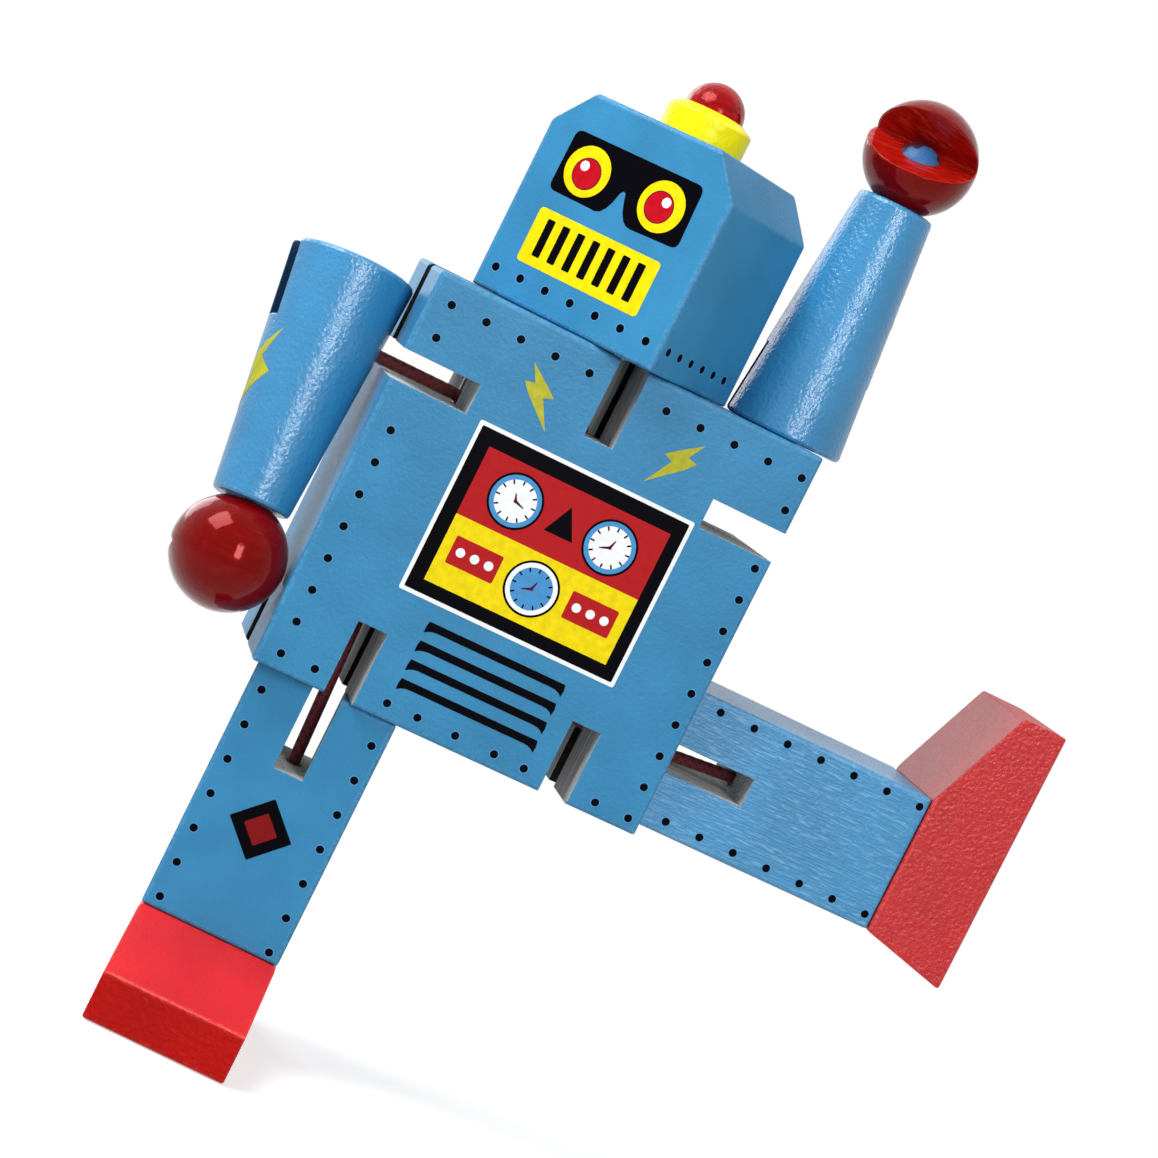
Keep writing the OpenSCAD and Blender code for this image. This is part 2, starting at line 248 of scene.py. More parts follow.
def grained(tree: NodeTree, way: GrainWay, streak_mm: Pair) -> Node:
    """Noise that is drawn out along the grain.

    Args:
        tree: the node tree.
        way: the way that the grain runs.
        streak_mm: a streak's length and width.

    Returns:
        The noise node.
    """
    along, across = (1 / (size * MM) for size in streak_mm)
    place = add_node(tree, "TexCoord").outputs["Object"]
    turned = add_node(tree, "Mapping", {"Vector": place, "Rotation": way.value})
    drawn = add_node(tree, "Mapping", {"Vector": turned, "Scale": (along, across, across)})
    return add_node(tree, "TexNoise", {"Vector": drawn, "Scale": 1.0, "Detail": 3.0, "Roughness": 0.55})


def mottle(tree: NodeTree, size_mm: float, detail: float = 2.0) -> Node:
    """Even noise with blotches of about size_mm."""
    place = add_node(tree, "TexCoord").outputs["Object"]
    return add_node(tree, "TexNoise", {"Vector": place, "Scale": 1 / (size_mm * MM), "Detail": detail})


def edge_share(tree: NodeTree, rounded_edge: Node, grit: Node, most: float) -> Node:
    """How near a point is to a sharp edge, broken up by a noise.

    Args:
        tree: the node tree.
        rounded_edge: the Bevel node, whose normal leans over near an edge.
        grit: the noise.
        most: the share on the edge itself.

    Returns:
        The node that gives the share.
    """
    flat = add_node(tree, "NewGeometry").outputs["True Normal"]
    facing = add_node(tree, "VectorMath", {0: rounded_edge, 1: flat}, operation="DOT_PRODUCT")
    leaning = {"Value": facing, "From Min": 0.985, "From Max": 0.9999}
    near = add_node(tree, "MapRange", {**leaning, "To Min": most, "To Max": 0.0})
    rough = add_node(tree, "MapRange", {"Value": grit, "From Min": 0.38, "From Max": 0.62})
    return add_node(tree, "Math", {0: near, 1: rough}, operation="MULTIPLY")


@dataclass(frozen=True)
class PaintedWood(Finish):
    """Satin paint over sanded wood: an even colour, fine brush and grain marks that break up
    the highlights, and a paler colour along the edges, part thin paint and part painted highlight."""

    way: GrainWay = GrainWay.UPRIGHT
    thin: str = "#86b8da"
    roughness: float = 0.36
    streak_mm: Pair = (9.0, 0.7)
    streak_deep: float = 0.02
    peel_mm: float = 0.7
    peel_deep: float = 0.07
    raised: float = 0.0
    gloss: float = 0.16
    cloud_mm: float = 14.0
    edge_mm: float = 0.45
    pale_edge_share: float = 0.55

    def surface(self, tree: NodeTree) -> Sockets:
        """Cloudy paint, paler along the edges as thin paint and painted highlight, with brush ridges and a
        fine peel.

        Args:
            tree: the node tree.

        Returns:
            What goes into the surface's sockets.
        """
        fine = mottle(tree, self.peel_mm, 3.0)
        lines = grained(tree, self.way, self.streak_mm)
        soft_edge = add_node(tree, "Bevel", {"Radius": self.edge_mm * MM}, samples=4)
        cloudy = {"Value": mottle(tree, self.cloud_mm), "From Min": 0.3, "From Max": 0.7}
        tone = add_node(tree, "MapRange", {**cloudy, "To Min": 0.9, "To Max": 1.08})
        paint = {0: linear(self.colour)[:3], "Scale": tone}
        full = add_node(tree, "VectorMath", paint, operation="SCALE")
        # Paler colour on the edges: part thin paint, part painted highlight
        pale_edge = edge_share(tree, soft_edge, fine, self.pale_edge_share)
        thin = linear(self.thin)
        colour = add_node(tree, "Mix", {0: pale_edge, 6: full, 7: thin}, data_type="RGBA")
        # Paler colour on the ridges of raised grain: part thin paint, part painted sheen where light grazes
        if self.raised:
            high = {"Value": lines, "From Min": 0.56, "From Max": 0.68, "To Max": self.raised}
            ridge = add_node(tree, "MapRange", high)
            colour = add_node(tree, "Mix", {0: ridge, 6: colour, 7: thin}, data_type="RGBA")
        brushed = {"Distance": self.streak_deep * MM, "Height": lines, "Normal": soft_edge}
        ridges = add_node(tree, "Bump", brushed)
        skin = add_node(tree, "Bump", {"Distance": self.peel_deep * MM, "Height": fine, "Normal": ridges})
        pitted = {"Value": fine, "From Min": 0.3, "From Max": 0.7}
        matt = {"To Min": self.roughness - 0.05, "To Max": self.roughness + 0.08}
        shine = add_node(tree, "MapRange", {**pitted, **matt})
        return {"Base Color": colour, "Roughness": shine, "Normal": skin, "Specular IOR Level": self.gloss}


@dataclass(frozen=True)
class Lacquer(Finish):
    """Gloss lacquer over red stain on turned wood: deep, wet-looking, with the stain's darker
    and paler streaks showing where the saw cut across the ball."""

    dark: str = "#4c0303"
    pale: str = "#b8281c"
    shine: Triple = (1.0, 0.1, 0.09)
    streaks: float = 0.25
    streak_mm: Pair = (7.0, 0.8)
    ridge_deep: float = 0.0
    wave: float = 0.5
    wave_mm: float = 2.2
    wave_deep: float = 0.2
    edge_mm: float = 0.8

    def surface(self, tree: NodeTree) -> Sockets:
        """Streaked stain under a clear coat that lies in soft waves.

        Args:
            tree: the node tree.

        Returns:
            What goes into the surface's sockets.
        """
        lines = grained(tree, GrainWay.ACROSS, self.streak_mm)
        low = {"Value": lines, "From Min": 0.30, "From Max": 0.52}
        darker = add_node(tree, "MapRange", {**low, "To Min": self.streaks, "To Max": 0.0})
        high = {"Value": lines, "From Min": 0.55, "From Max": 0.72, "To Max": self.streaks}
        paler = add_node(tree, "MapRange", high)
        deep = {0: darker, 6: linear(self.colour), 7: linear(self.dark)}
        stain = add_node(tree, "Mix", deep, data_type="RGBA")
        colour = add_node(tree, "Mix", {0: paler, 6: stain, 7: linear(self.pale)}, data_type="RGBA")
        soft_edge = add_node(tree, "Bevel", {"Radius": self.edge_mm * MM}, samples=8)
        sawn = {"Distance": self.ridge_deep * MM, "Height": lines, "Normal": soft_edge}
        ridges = add_node(tree, "Bump", sawn)
        swell = {"Distance": self.wave_deep * MM, "Height": mottle(tree, self.wave_mm)}
        skin = add_node(tree, "Bump", {**swell, "Strength": self.wave, "Normal": ridges})
        return {
            "Base Color": colour,
            "Normal": skin,
            "Roughness": 0.12,
            "Specular IOR Level": 0.32,
            "Specular Tint": (*self.shine, 1.0),
            "Coat Weight": 0.11,
            "Coat Roughness": 0.05,
        }


@dataclass(frozen=True)
class SawnWood(Finish):
    """Bare wood left by the saw inside the slots: dull, streaked along the grain, and rough."""

    dark: str = "#9fa2a4"
    pore: str = "#5c5d5f"
    way: GrainWay = GrainWay.UPRIGHT
    streak_mm: Pair = (12.0, 0.5)
    pore_mm: Pair = (2.5, 0.22)
    pore_deep: float = 0.12

    def surface(self, tree: NodeTree) -> Sockets:
        """Pale and dark streaks with short dark pores, which also roughen the face.

        Args:
            tree: the node tree.

        Returns:
            What goes into the surface's sockets.
        """
        pores = grained(tree, self.way, self.pore_mm)
        streaks = {"Value": grained(tree, self.way, self.streak_mm), "From Min": 0.35, "From Max": 0.62}
        share = add_node(tree, "MapRange", {**streaks, "To Min": 1.0, "To Max": 0.0})
        wood = {0: share, 6: linear(self.colour), 7: linear(self.dark)}
        streaked = add_node(tree, "Mix", wood, data_type="RGBA")
        pits = {"Value": pores, "From Min": 0.28, "From Max": 0.42}
        flecks = add_node(tree, "MapRange", {**pits, "To Min": 0.8, "To Max": 0.0})
        colour = add_node(tree, "Mix", {0: flecks, 6: streaked, 7: linear(self.pore)}, data_type="RGBA")
        torn = {"Strength": 0.6, "Distance": self.pore_deep * MM, "Height": pores}
        rough = add_node(tree, "Bump", torn)
        return {"Base Color": colour, "Normal": rough, "Roughness": 0.85, "Specular IOR Level": 0.2}


@dataclass(frozen=True)
class Ink(Finish):
    """Screen-printed ink: flat colour with a slight unevenness, a little shinier than paint."""

    unevenness: float = 0.06
    roughness: float = 0.42
    gloss: float = 0.06
    cloud_mm: float = 1.6
    film_deep: float = 0.05

    def surface(self, tree: NodeTree) -> Sockets:
        """One colour, a little thicker here and thinner there.

        Args:
            tree: the node tree.

        Returns:
            What goes into the surface's sockets.
        """
        cloud = mottle(tree, self.cloud_mm, 3.0)
        cloudy = {"Value": cloud, "From Min": 0.3, "From Max": 0.7}
        uneven = {"To Min": 1 - self.unevenness, "To Max": 1 + self.unevenness}
        tone = add_node(tree, "MapRange", {**cloudy, **uneven})
        ink = {0: linear(self.colour)[:3], "Scale": tone}
        colour = add_node(tree, "VectorMath", ink, operation="SCALE")
        film = {"Strength": 0.15, "Distance": self.film_deep * MM, "Height": cloud}
        skin = add_node(tree, "Bump", film)
        shine = {"Roughness": self.roughness, "Specular IOR Level": self.gloss}
        return {"Base Color": colour, "Normal": skin, **shine}


@dataclass(frozen=True)
class SmearedBead(Finish):
    """A painted bead whose back edge the hand's lacquer has run over."""

    smear: str = "#3a0806"
    blot_mm: float = 2.0
    grit_mm: float = 0.4
    grit_deep: float = 0.12
    front_mm: float = 4.4
    back_mm: float = 7.6

    def surface(self, tree: NodeTree) -> Sockets:
        """Paint in front, dark lacquer behind, and a ragged edge where they meet.

        Args:
            tree: the node tree.

        Returns:
            What goes into the surface's sockets.
        """
        place = add_node(tree, "TexCoord").outputs["Object"]
        depth = add_node(tree, "SeparateXYZ", {0: place}).outputs["Y"]
        reach = {"Value": depth, "From Min": self.front_mm * MM, "From Max": self.back_mm * MM}
        behind = add_node(tree, "MapRange", {**reach, "To Min": -0.2, "To Max": 0.3})
        ragged = add_node(tree, "Math", {0: mottle(tree, self.blot_mm, 4.0), 1: behind}, operation="ADD")
        meet = {"Value": ragged, "From Min": 0.49, "From Max": 0.54, "To Max": 0.95}
        share = add_node(tree, "MapRange", meet)
        paints = {0: share, 6: linear(self.colour), 7: linear(self.smear)}
        colour = add_node(tree, "Mix", paints, data_type="RGBA")
        grit = {"Distance": self.grit_deep * MM, "Height": mottle(tree, self.grit_mm, 3.0)}
        skin = add_node(tree, "Bump", grit)
        return {"Base Color": colour, "Normal": skin, "Roughness": 0.4, "Specular IOR Level": 0.3}


@dataclass(frozen=True)
class BraidedElastic(Finish):
    """Braided cover of dyed yarn over a rubber core: two sets of strands that cross, with painted
    shade in the gaps between them. The pattern follows the cord's own UV map."""

    # The gaps' colour is painted shade, darker where the strands dip
    gap: str = "#2c040a"
    dust: str = "#98303c"
    strands: int = 8
    fibre_mm: float = 0.3
    strand_deep: float = 0.15

    def surface(self, tree: NodeTree) -> Sockets:
        """Two crossing sets of waves, of which the higher one is the strand on top.

        Args:
            tree: the node tree.

        Returns:
            What goes into the surface's sockets.
        """
        chart = {"Vector": add_node(tree, "UVMap", uv_map="cord")}
        counted = add_node(tree, "Mapping", {**chart, "Scale": (self.strands, self.strands, 1.0)})
        parts = add_node(tree, "SeparateXYZ", {0: counted})
        waves = []
        for lean in ("ADD", "SUBTRACT"):
            slant = add_node(tree, "Math", {0: parts.outputs[0], 1: parts.outputs[1]}, operation=lean)
            waves.append(add_node(tree, "Math", {0: slant, 1: 1.0}, operation="PINGPONG"))
        top = add_node(tree, "Math", {0: waves[0], 1: waves[1]}, operation="MAXIMUM")
        share = add_node(tree, "MapRange", {"Value": top, "From Min": 0.25, "From Max": 0.8})
        # Painted shade: the gap colour darkens the low parts between the strands
        dyed = {0: share, 6: linear(self.gap), 7: linear(self.colour)}
        yarn = add_node(tree, "Mix", dyed, data_type="RGBA")
        fibres = {"Value": mottle(tree, self.fibre_mm, 3.0), "From Min": 0.45, "From Max": 0.75}
        dusty = add_node(tree, "MapRange", {**fibres, "To Max": 0.2})
        colour = add_node(tree, "Mix", {0: dusty, 6: yarn, 7: linear(self.dust)}, data_type="RGBA")
        strands = {"Strength": 0.7, "Distance": self.strand_deep * MM, "Height": top}
        return {
            "Base Color": colour,
            "Normal": add_node(tree, "Bump", strands),
            "Roughness": 0.7,
            "Sheen Weight": 0.25,
            "Sheen Roughness": 0.5,
        }


# Satin blue paint lies calm on planed blocks, streaky with thin paint and painted sheen on a leg
# whose grain was raised, and in small waves on the turned arms; in a slot it is painted shade, almost navy
BLUE_UPRIGHT = PaintedWood("satin_blue_paint_upright_grain", "#3582af")
BLUE_STREAKED = PaintedWood(
    "satin_blue_paint_over_raised_grain",
    "#3a86b6",
    way=GrainWay.ACROSS,
    streak_mm=(3.6, 0.4),
    streak_deep=0.16,
    raised=0.5,
    roughness=0.3,
    gloss=0.4,
)
BLUE_TURNED = PaintedWood(
    "satin_blue_paint_on_turned_wood", "#3181b2", peel_mm=0.8, peel_deep=0.2, roughness=0.2, gloss=0.5
)
BLUE_SLOT_SHADE = PaintedWood("blue_paint_painted_slot_shade", "#16395c", thin="#2a6796", roughness=0.5)
BEAD_BLUE = SmearedBead("smeared_blue_paint_on_a_bead", "#2c6092")

# Thick yellow paint pools in soft lumps round the collar
YELLOW = PaintedWood(
    "satin_yellow_paint", "#f0e208", thin="#fff9a0", roughness=0.3, peel_mm=2.2, peel_deep=0.4
)

# Red paint is bright and smooth on the standing foot's slope, darker as painted shade on the raised
# foot and on the toe, and pitted over the end grain at the sides
FOOT_RED = PaintedWood(
    "satin_red_paint",
    "#d01c1e",
    thin="#f08078",
    way=GrainWay.ACROSS,
    roughness=0.4,
    peel_deep=0.12,
    gloss=0.5,
)
FOOT_RED_SHADED = replace(FOOT_RED, name="red_paint_painted_shade", colour="#9a1416", thin="#c86a66")
FOOT_TOE_SHADED = PaintedWood(
    "red_paint_painted_toe_shade",
    "#b00c06",
    thin="#e06058",
    way=GrainWay.ACROSS,
    peel_mm=1.1,
    peel_deep=0.25,
    gloss=0.12,
)
FOOT_END = PaintedWood(
    "red_paint_on_end_grain",
    "#bc2226",
    thin="#f08078",
    way=GrainWay.FRONT_TO_BACK,
    streak_mm=(1.1, 0.7),
    streak_deep=0.1,
    raised=0.14,
    roughness=0.3,
    peel_mm=0.8,
    peel_deep=0.2,
    gloss=0.32,
)

# Lacquer over stain makes the balls deep and wet; where the saw opened them it is brighter
# and its ridges catch the light
HAND_RED = Lacquer("gloss_red_lacquer", "#700101", streaks=0.15)
HAND_CUT = Lacquer(
    "gloss_red_lacquer_on_cut_wood",
    "#a4140a",
    pale="#d0483c",
    shine=(1.0, 0.45, 0.42),
    streaks=0.4,
    wave=1.0,
    ridge_deep=0.05,
)
LAMP_RED = Lacquer(
    "gloss_red_lacquer_on_the_lamp", "#960308", shine=(1.0, 0.16, 0.16), streaks=0.5, wave=1.6
)

# Bare wood shows its grain as pale and grey streaks; in the slots it is coloured paler than it is,
# as painted light against their shade, and in a saw kerf nearly black, as painted shade
SAWN_PAINTED_PALE = SawnWood("bare_sawn_wood", "#dcdedd")
SAWN_ACROSS_PAINTED_PALE = SawnWood("bare_sawn_wood_level_grain", "#dcdedd", way=GrainWay.ACROSS)
KERF_SHADE = SawnWood("kerf_wood_painted_shade", "#26262a", dark="#0c0c0f")

# Dyed yarn is matt and dark, ruby on the strands that bulge, with painted shade in the gaps between them
ELASTIC = BraidedElastic("braided_elastic", "#6c0c1a")

# Screen inks are flat and crisp; only the yellows and the eyes are thin enough to look uneven
BLACK_INK = Ink("black_ink", "#05050a", gloss=0.02)
WHITE_INK = Ink("white_ink", "#f0f2f2", unevenness=0.03)
RED_INK = Ink("red_ink", "#b01a1e")
EYE_INK = Ink("eye_red_ink", "#b80e20", unevenness=0.12)
DIAMOND_INK = Ink("dark_red_ink", "#7e1618")
YELLOW_INK = Ink("yellow_ink", "#ecd40c", unevenness=0.1)
BLUE_INK = Ink("dial_blue_ink", "#4a90c8")
RIM_INK = Ink("thin_blue_ink", "#5296c6")
OLIVE_INK = Ink("olive_yellow_ink", "#b4b234", unevenness=0.14)
MAROON_INK = Ink("maroon_ink", "#4c0a2c")


# Places, in mm


def middle_of(node: str) -> Vector:
    """The middle of a CAD node's box in the row frame.

    Args:
        node: the CAD node.

    Returns:
        The middle, in mm.
    """
    places = [v.co for v in frame["nodes"][node].data.vertices]
    low = Vector([min(p[i] for p in places) for i in range(3)])
    high = Vector([max(p[i] for p in places) for i in range(3)])
    return (low + high) / 2 / MM


# The blocks as the CAD has them; SEAT is the gap at a moving seat, and a face whose middle
# lies within SKIN of a block's outside is painted
TORSO_MIDDLE = middle_of("torso_block")
TORSO_HALF_DEPTH = 18.0
TORSO_HALF_WIDTH = 40.5
TORSO_TOP = 40.2
SEAT = 0.1
SKIN = 0.85
KERF_LEVEL = 24.2
SIDE_BORE = 23.1
BEND = 2.6
HEAD_TURN = 41
HEAD_SHIFT = -4.6
HEAD_HALF_WIDTH = 21.75
HEAD_HALF_DEPTH = 16.7
HEAD_KNOT = 35.4
SHOULDER = 19.9
ARM_OUT = 35.6
ARM_WIDE = 12.3
ARM_LENGTH = 49.5
ARM_SLOT = 15.3
ARM_PIVOT = 13.75
HAND_RADIUS = 11.2
HAND_UP = ARM_LENGTH + SEAT + 10.1
HAND_SEAT = HAND_UP - 0.29 * HAND_RADIUS
LEG_HALF = 14.3
LEG_LENGTH = 51.4
LEG_SLOT = 17.3
LEG_TURN = 9
HIP = 21.9
RAISED_HIP = -24.1
FOOT_KNOT = LEG_LENGTH + SEAT + 10.75
X, Y, Z = Vector((1, 0, 0)), Vector((0, 1, 0)), Vector((0, 0, 1))


def torso_point(x: float, z: float) -> Vector:
    """A point halfway through the torso's thickness, from its middle."""
    return TORSO_MIDDLE + Vector((x, 0.0, z))


def turn(degrees: float, axis: str) -> Matrix:
    """A turn about one of the axes."""
    return Matrix.Rotation(math.radians(degrees), 4, axis)


HEAD_BASE = torso_point(HEAD_SHIFT, TORSO_TOP + SEAT)
HEAD_X, HEAD_Y = turn(-HEAD_TURN, "Z") @ X, turn(-HEAD_TURN, "Z") @ Y
LEG_X, LEG_Y = turn(-LEG_TURN, "Z") @ X, turn(-LEG_TURN, "Z") @ Y


def left_arm_place() -> Matrix:
    """The hanging arm's own frame, from its wide end to its hand.

    Returns:
        The frame, in mm.
    """
    outside, swing = 53.1, 12
    lean = math.asin((ARM_WIDE - HAND_RADIUS) / HAND_UP)
    pivot = torso_point(ARM_PIVOT * math.sin(lean) - outside, SHOULDER)
    turned = turn(-swing, "X") @ turn(-math.degrees(lean), "Y") @ turn(180, "X")
    return Matrix.Translation(pivot) @ turned @ Matrix.Translation(Z * -ARM_PIVOT)


def right_arm_place() -> Matrix:
    """The raised arm's own frame, from its wide end to its hand."""
    return Matrix.Translation(torso_point(ARM_OUT, TORSO_TOP + SEAT))


def left_leg_place() -> Matrix:
    """The standing leg's own frame, from its hip end to its foot."""
    hip = Matrix.Translation(torso_point(-HIP, -TORSO_TOP - SEAT))
    return hip @ turn(-LEG_TURN, "Z") @ turn(180, "X")


def right_leg_place() -> Matrix:
    """The raised leg's own frame, from its hip end to its foot."""
    return Matrix.Translation(torso_point(TORSO_HALF_WIDTH + SEAT, RAISED_HIP)) @ turn(90, "Y")


@dataclass(frozen=True)
class Face:
    """A flat face that takes prints: a point of it, its directions across and up, in mm."""

    origin: Vector
    across: Vector
    up: Vector

    def matrix(self, u: float, v: float, lift: float) -> Matrix:
        """A frame on the face, with Z outwards.

        Args:
            u: how far across it lies, in mm.
            v: how far up.
            lift: how far above the face.

        Returns:
            The frame, in metres.
        """
        out = self.across.cross(self.up)
        place = Matrix.Translation((self.origin + self.across * u + self.up * v + out * lift) * MM)
        return place @ Matrix((self.across, self.up, out)).transposed().to_4x4()


TORSO_FACE = Face(TORSO_MIDDLE - Y * TORSO_HALF_DEPTH, X, Z)
LEFT_LEG_FACE = Face(TORSO_MIDDLE - X * HIP - LEG_Y * LEG_HALF, LEG_X, Z)
RIGHT_LEG_FACE = Face(TORSO_MIDDLE - Y * LEG_HALF, X, Z)
HEAD_FACE = Face(HEAD_BASE - HEAD_Y * HEAD_HALF_DEPTH, HEAD_X, Z)
HEAD_SIDE = Face(HEAD_BASE + HEAD_X * HEAD_HALF_WIDTH, HEAD_Y, Z)


# Printing


def box(across: Pair, up: Pair) -> list[Pair]:
    """A rectangle's corners, from its two ranges."""
    return [(across[0], up[0]), (across[1], up[0]), (across[1], up[1]), (across[0], up[1])]


def row(first: Pair, last: Pair, count: int) -> list[Pair]:
    """Evenly spaced points from first to last."""
    a, b = Vector(first), Vector(last)
    return [tuple(a.lerp(b, i / (count - 1))) for i in range(count)]


def rounded(points: Sequence[Pair], radius: float, steps: int = 5) -> list[Pair]:
    """The outline with each corner cut to an arc.

    Args:
        points: the corners, in order.
        radius: the arcs' reach along the sides, in mm.
        steps: the pieces in each arc.

    Returns:
        The new outline.
    """
    made: list[Pair] = []
    for i, point in enumerate(points):
        b = Vector(point)
        a, c = Vector(points[i - 1]), Vector(points[(i + 1) % len(points)])
        first = b + (a - b).normalized() * min(radius, (a - b).length * 0.45)
        last = b + (c - b).normalized() * min(radius, (c - b).length * 0.45)
        for k in range(steps + 1):
            t = k / steps
            made.append(tuple(first * (1 - t) ** 2 + b * 2 * t * (1 - t) + last * t**2))
    return made


@dataclass
class Printer:
    """Makes the printed shapes of one piece of wood: thin patches of ink, a layer above
    another where one ink lies on another, joined into one piece that rides on a body."""

    face: Face
    parts: list[Object] = field(default_factory=list)
    ground: float = 0.03
    step: float = 0.02
    film: float = 0.015
    dial_radius: float = 5.45
    dial_line: float = 0.45
    dial_ring: float = 1.35

    def lift(self, layer: int) -> float:
        """How far a layer's top lies above the wood, in mm."""
        return self.ground + self.step * layer

    def disc(self, sides: int, radius: float) -> Object:
        """A flat disc of the given number of sides, to be shaped.

        Args:
            sides: the number of sides.
            radius: the radius in metres.

        Returns:
            The disc.
        """
        deselect()
        bpy.ops.mesh.primitive_circle_add(vertices=sides, radius=radius, fill_type="NGON")
        return bpy.context.active_object

    def lay(self, patch: Object, centre: Pair, layer: int) -> Object:
        """Lays a patch on the face and keeps it for the joined piece.

        Args:
            patch: the patch, flat about the origin.
            centre: where its origin goes on the face, in mm.
            layer: the ink layer, 0 for the lowest.

        Returns:
            The patch.
        """
        patch.matrix_world = self.face.matrix(*centre, self.lift(layer))
        settle(patch)
        self.parts.append(patch)
        return patch

    def outline(self, points: Sequence[Pair], layer: int, finish: Finish) -> Object:
        """A patch with the given outline.

        Args:
            points: the outline on the face, in mm.
            layer: the ink layer.
            finish: the ink.

        Returns:
            The patch, before its thickness.
        """
        patch = self.disc(len(points), 1.0)
        for vertex, (u, v) in zip(patch.data.vertices, points):
            vertex.co = (u * MM, v * MM, 0)
        patch.data.update()
        if patch.data.polygons[0].normal.z < 0:
            edit(patch, bpy.ops.mesh.flip_normals)
        patch.data.materials.append(finish.get())
        return self.lay(patch, (0.0, 0.0), layer)

    def rings(
        self, centre: Pair, bands: Sequence[tuple[float, Finish]], layer: int, sides: int = 64
    ) -> Object:
        """A disc whose bands are inset one in another.

        Args:
            centre: its middle on the face, in mm.
            bands: outer radius in mm and ink of each band, from outside in.
            layer: the ink layer.
            sides: how many sides the circle has.

        Returns:
            The disc, before its thickness.
        """
        disc = self.disc(sides, bands[0][0] * MM)
        widths = [(outer[0] - inner[0]) * MM for outer, inner in zip(bands, bands[1:])]
        edit(disc, *[partial(bpy.ops.mesh.inset, thickness=width) for width in widths])
        for _, finish in bands:
            disc.data.materials.append(finish.get())
        for polygon in disc.data.polygons:
            away = polygon.center.length / MM
            polygon.material_index = max(i for i, (radius, _) in enumerate(bands) if away < radius)
        return self.lay(disc, centre, layer)

    def dots(self, places: Sequence[Pair], radius: float) -> None:
        """Rivet dots with a faint paler rim, the first modelled and the rest copied from it.

        Args:
            places: the dots' middles on the face, in mm.
            radius: a dot's radius without its rim.
        """
        rim = 0.18
        start, *others = places
        first = self.rings(start, [(radius + rim, RIM_INK), (radius, BLACK_INK)], 0, sides=24)
        for place in others:
            copy = add_object(first.name, first.data.copy())
            move = self.face.across * (place[0] - start[0]) + self.face.up * (place[1] - start[1])
            copy.data.transform(Matrix.Translation(move * MM))
            self.parts.append(copy)

    def dial(self, centre: Pair, rim: tuple[Finish, Finish], hands: Sequence[Pair], layer: int) -> None:
        """A round gauge: an outlined rim, twelve tick marks and two hands.

        Args:
            centre: its middle on the face, in mm.
            rim: the inks of the ring and of the plate inside it.
            hands: angle from upright in degrees, clockwise, and length in mm, of each hand.
            layer: the ink layer of the gauge's plate.
        """
        ring, plate = rim
        outer, inner = self.dial_radius, self.dial_radius - self.dial_ring
        bands = [(outer, BLACK_INK), (outer - self.dial_line, ring), (inner, plate)]
        self.rings(centre, bands, layer)
        for hour in range(12):
            self.stroke(centre, 30 * hour, (inner - 0.85, inner - 0.02), (0.32, 0.32), layer + 1, BLACK_INK)
        for angle, length in hands:
            self.stroke(centre, angle, (-0.25, length), (0.62, 0.22), layer + 1, MAROON_INK)
        self.rings(centre, [(0.36, MAROON_INK)], layer + 2, sides=16)

    def stroke(
        self, centre: Pair, angle: float, reach: Pair, widths: Pair, layer: int, finish: Finish
    ) -> None:
        """A straight mark that points away from a centre.

        Args:
            centre: the centre on the face, in mm.
            angle: its direction, in degrees clockwise from upright.
            reach: where it starts and ends, from the centre.
            widths: its width at the start and at the end.
            layer: the ink layer.
            finish: the ink.
        """
        s, c = math.sin(math.radians(angle)), math.cos(math.radians(angle))
        (start, end), (wide, narrow) = reach, widths
        corners = [(-wide / 2, start), (wide / 2, start), (narrow / 2, end), (-narrow / 2, end)]
        turned = [(centre[0] + x * c + y * s, centre[1] - x * s + y * c) for x, y in corners]
        self.outline(turned, layer, finish)

    def finish(self, name: str, body: str) -> None:
        """Joins the patches, gives them the ink's thickness and puts them on a body.

        Args:
            name: the joined piece's name.
            body: the body that it rides on.
        """
        piece = join(name, self.parts)
        film = piece.modifiers.new("film", "SOLIDIFY")
        film.thickness, film.offset = self.film * MM, -1.0
        bpy.ops.object.modifier_apply(modifier=film.name)
        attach(piece, body)
        log.info("%s: %d faces on %s", name, len(piece.data.polygons), body)


# A lightning flash, about its middle, as it lies to the viewer's right on the chest
FLASH: list[Pair] = [(-4.5, -5.5), (-0.5, -2.1), (1.5, -0.4), (3.25, 1.6), (1.25, 2.0), (3.15, 5.4)]
FLASH += [(-1.2, 2.4), (-3.2, 0.8), (-1.35, 0.05)]

# The same flash as it is drawn out round an arm, from the arm's front and its wide end
ARM_FLASH: list[Pair] = [(9.2, 17.6), (12.2, 23.6), (8.4, 26.2), (17.0, 35.0), (14.0, 26.6), (16.8, 24.9)]


# Cord

# The braid as it is modelled: points round a ring, strands each way, a gap's depth and the
# rings' spacing in mm, the lay in radii, and how a cut end closes ring by ring
BRAID_SIDES = 30
BRAID_STRANDS = 5
BRAID_RELIEF = 0.09
BRAID_PITCH = 0.3
BRAID_LAY = 1.3
CUT_END = (0.72, 0.93, 1.0)
KNOT_THICK = 0.27


def even_points(path: Sequence[Vector], pitch: float) -> tuple[list[Vector], float]:
    """Points at an even distance along a path.

    Args:
        path: the path's own points, in mm.
        pitch: the distance that is wanted.

    Returns:
        The points, both ends included, and the path's length.
    """
    lengths = [0.0]
    for a, b in zip(path, path[1:]):
        lengths.append(lengths[-1] + (b - a).length)
    total = lengths[-1]
    count = max(4, round(total / pitch))
    points: list[Vector] = []
    segment = 0
    for i in range(count + 1):
        s = total * i / count
        while segment < len(path) - 2 and s > lengths[segment + 1]:
            segment += 1
        t = (s - lengths[segment]) / max(1e-9, lengths[segment + 1] - lengths[segment])
        points.append(path[segment].lerp(path[segment + 1], min(1.0, t)))
    return points, total


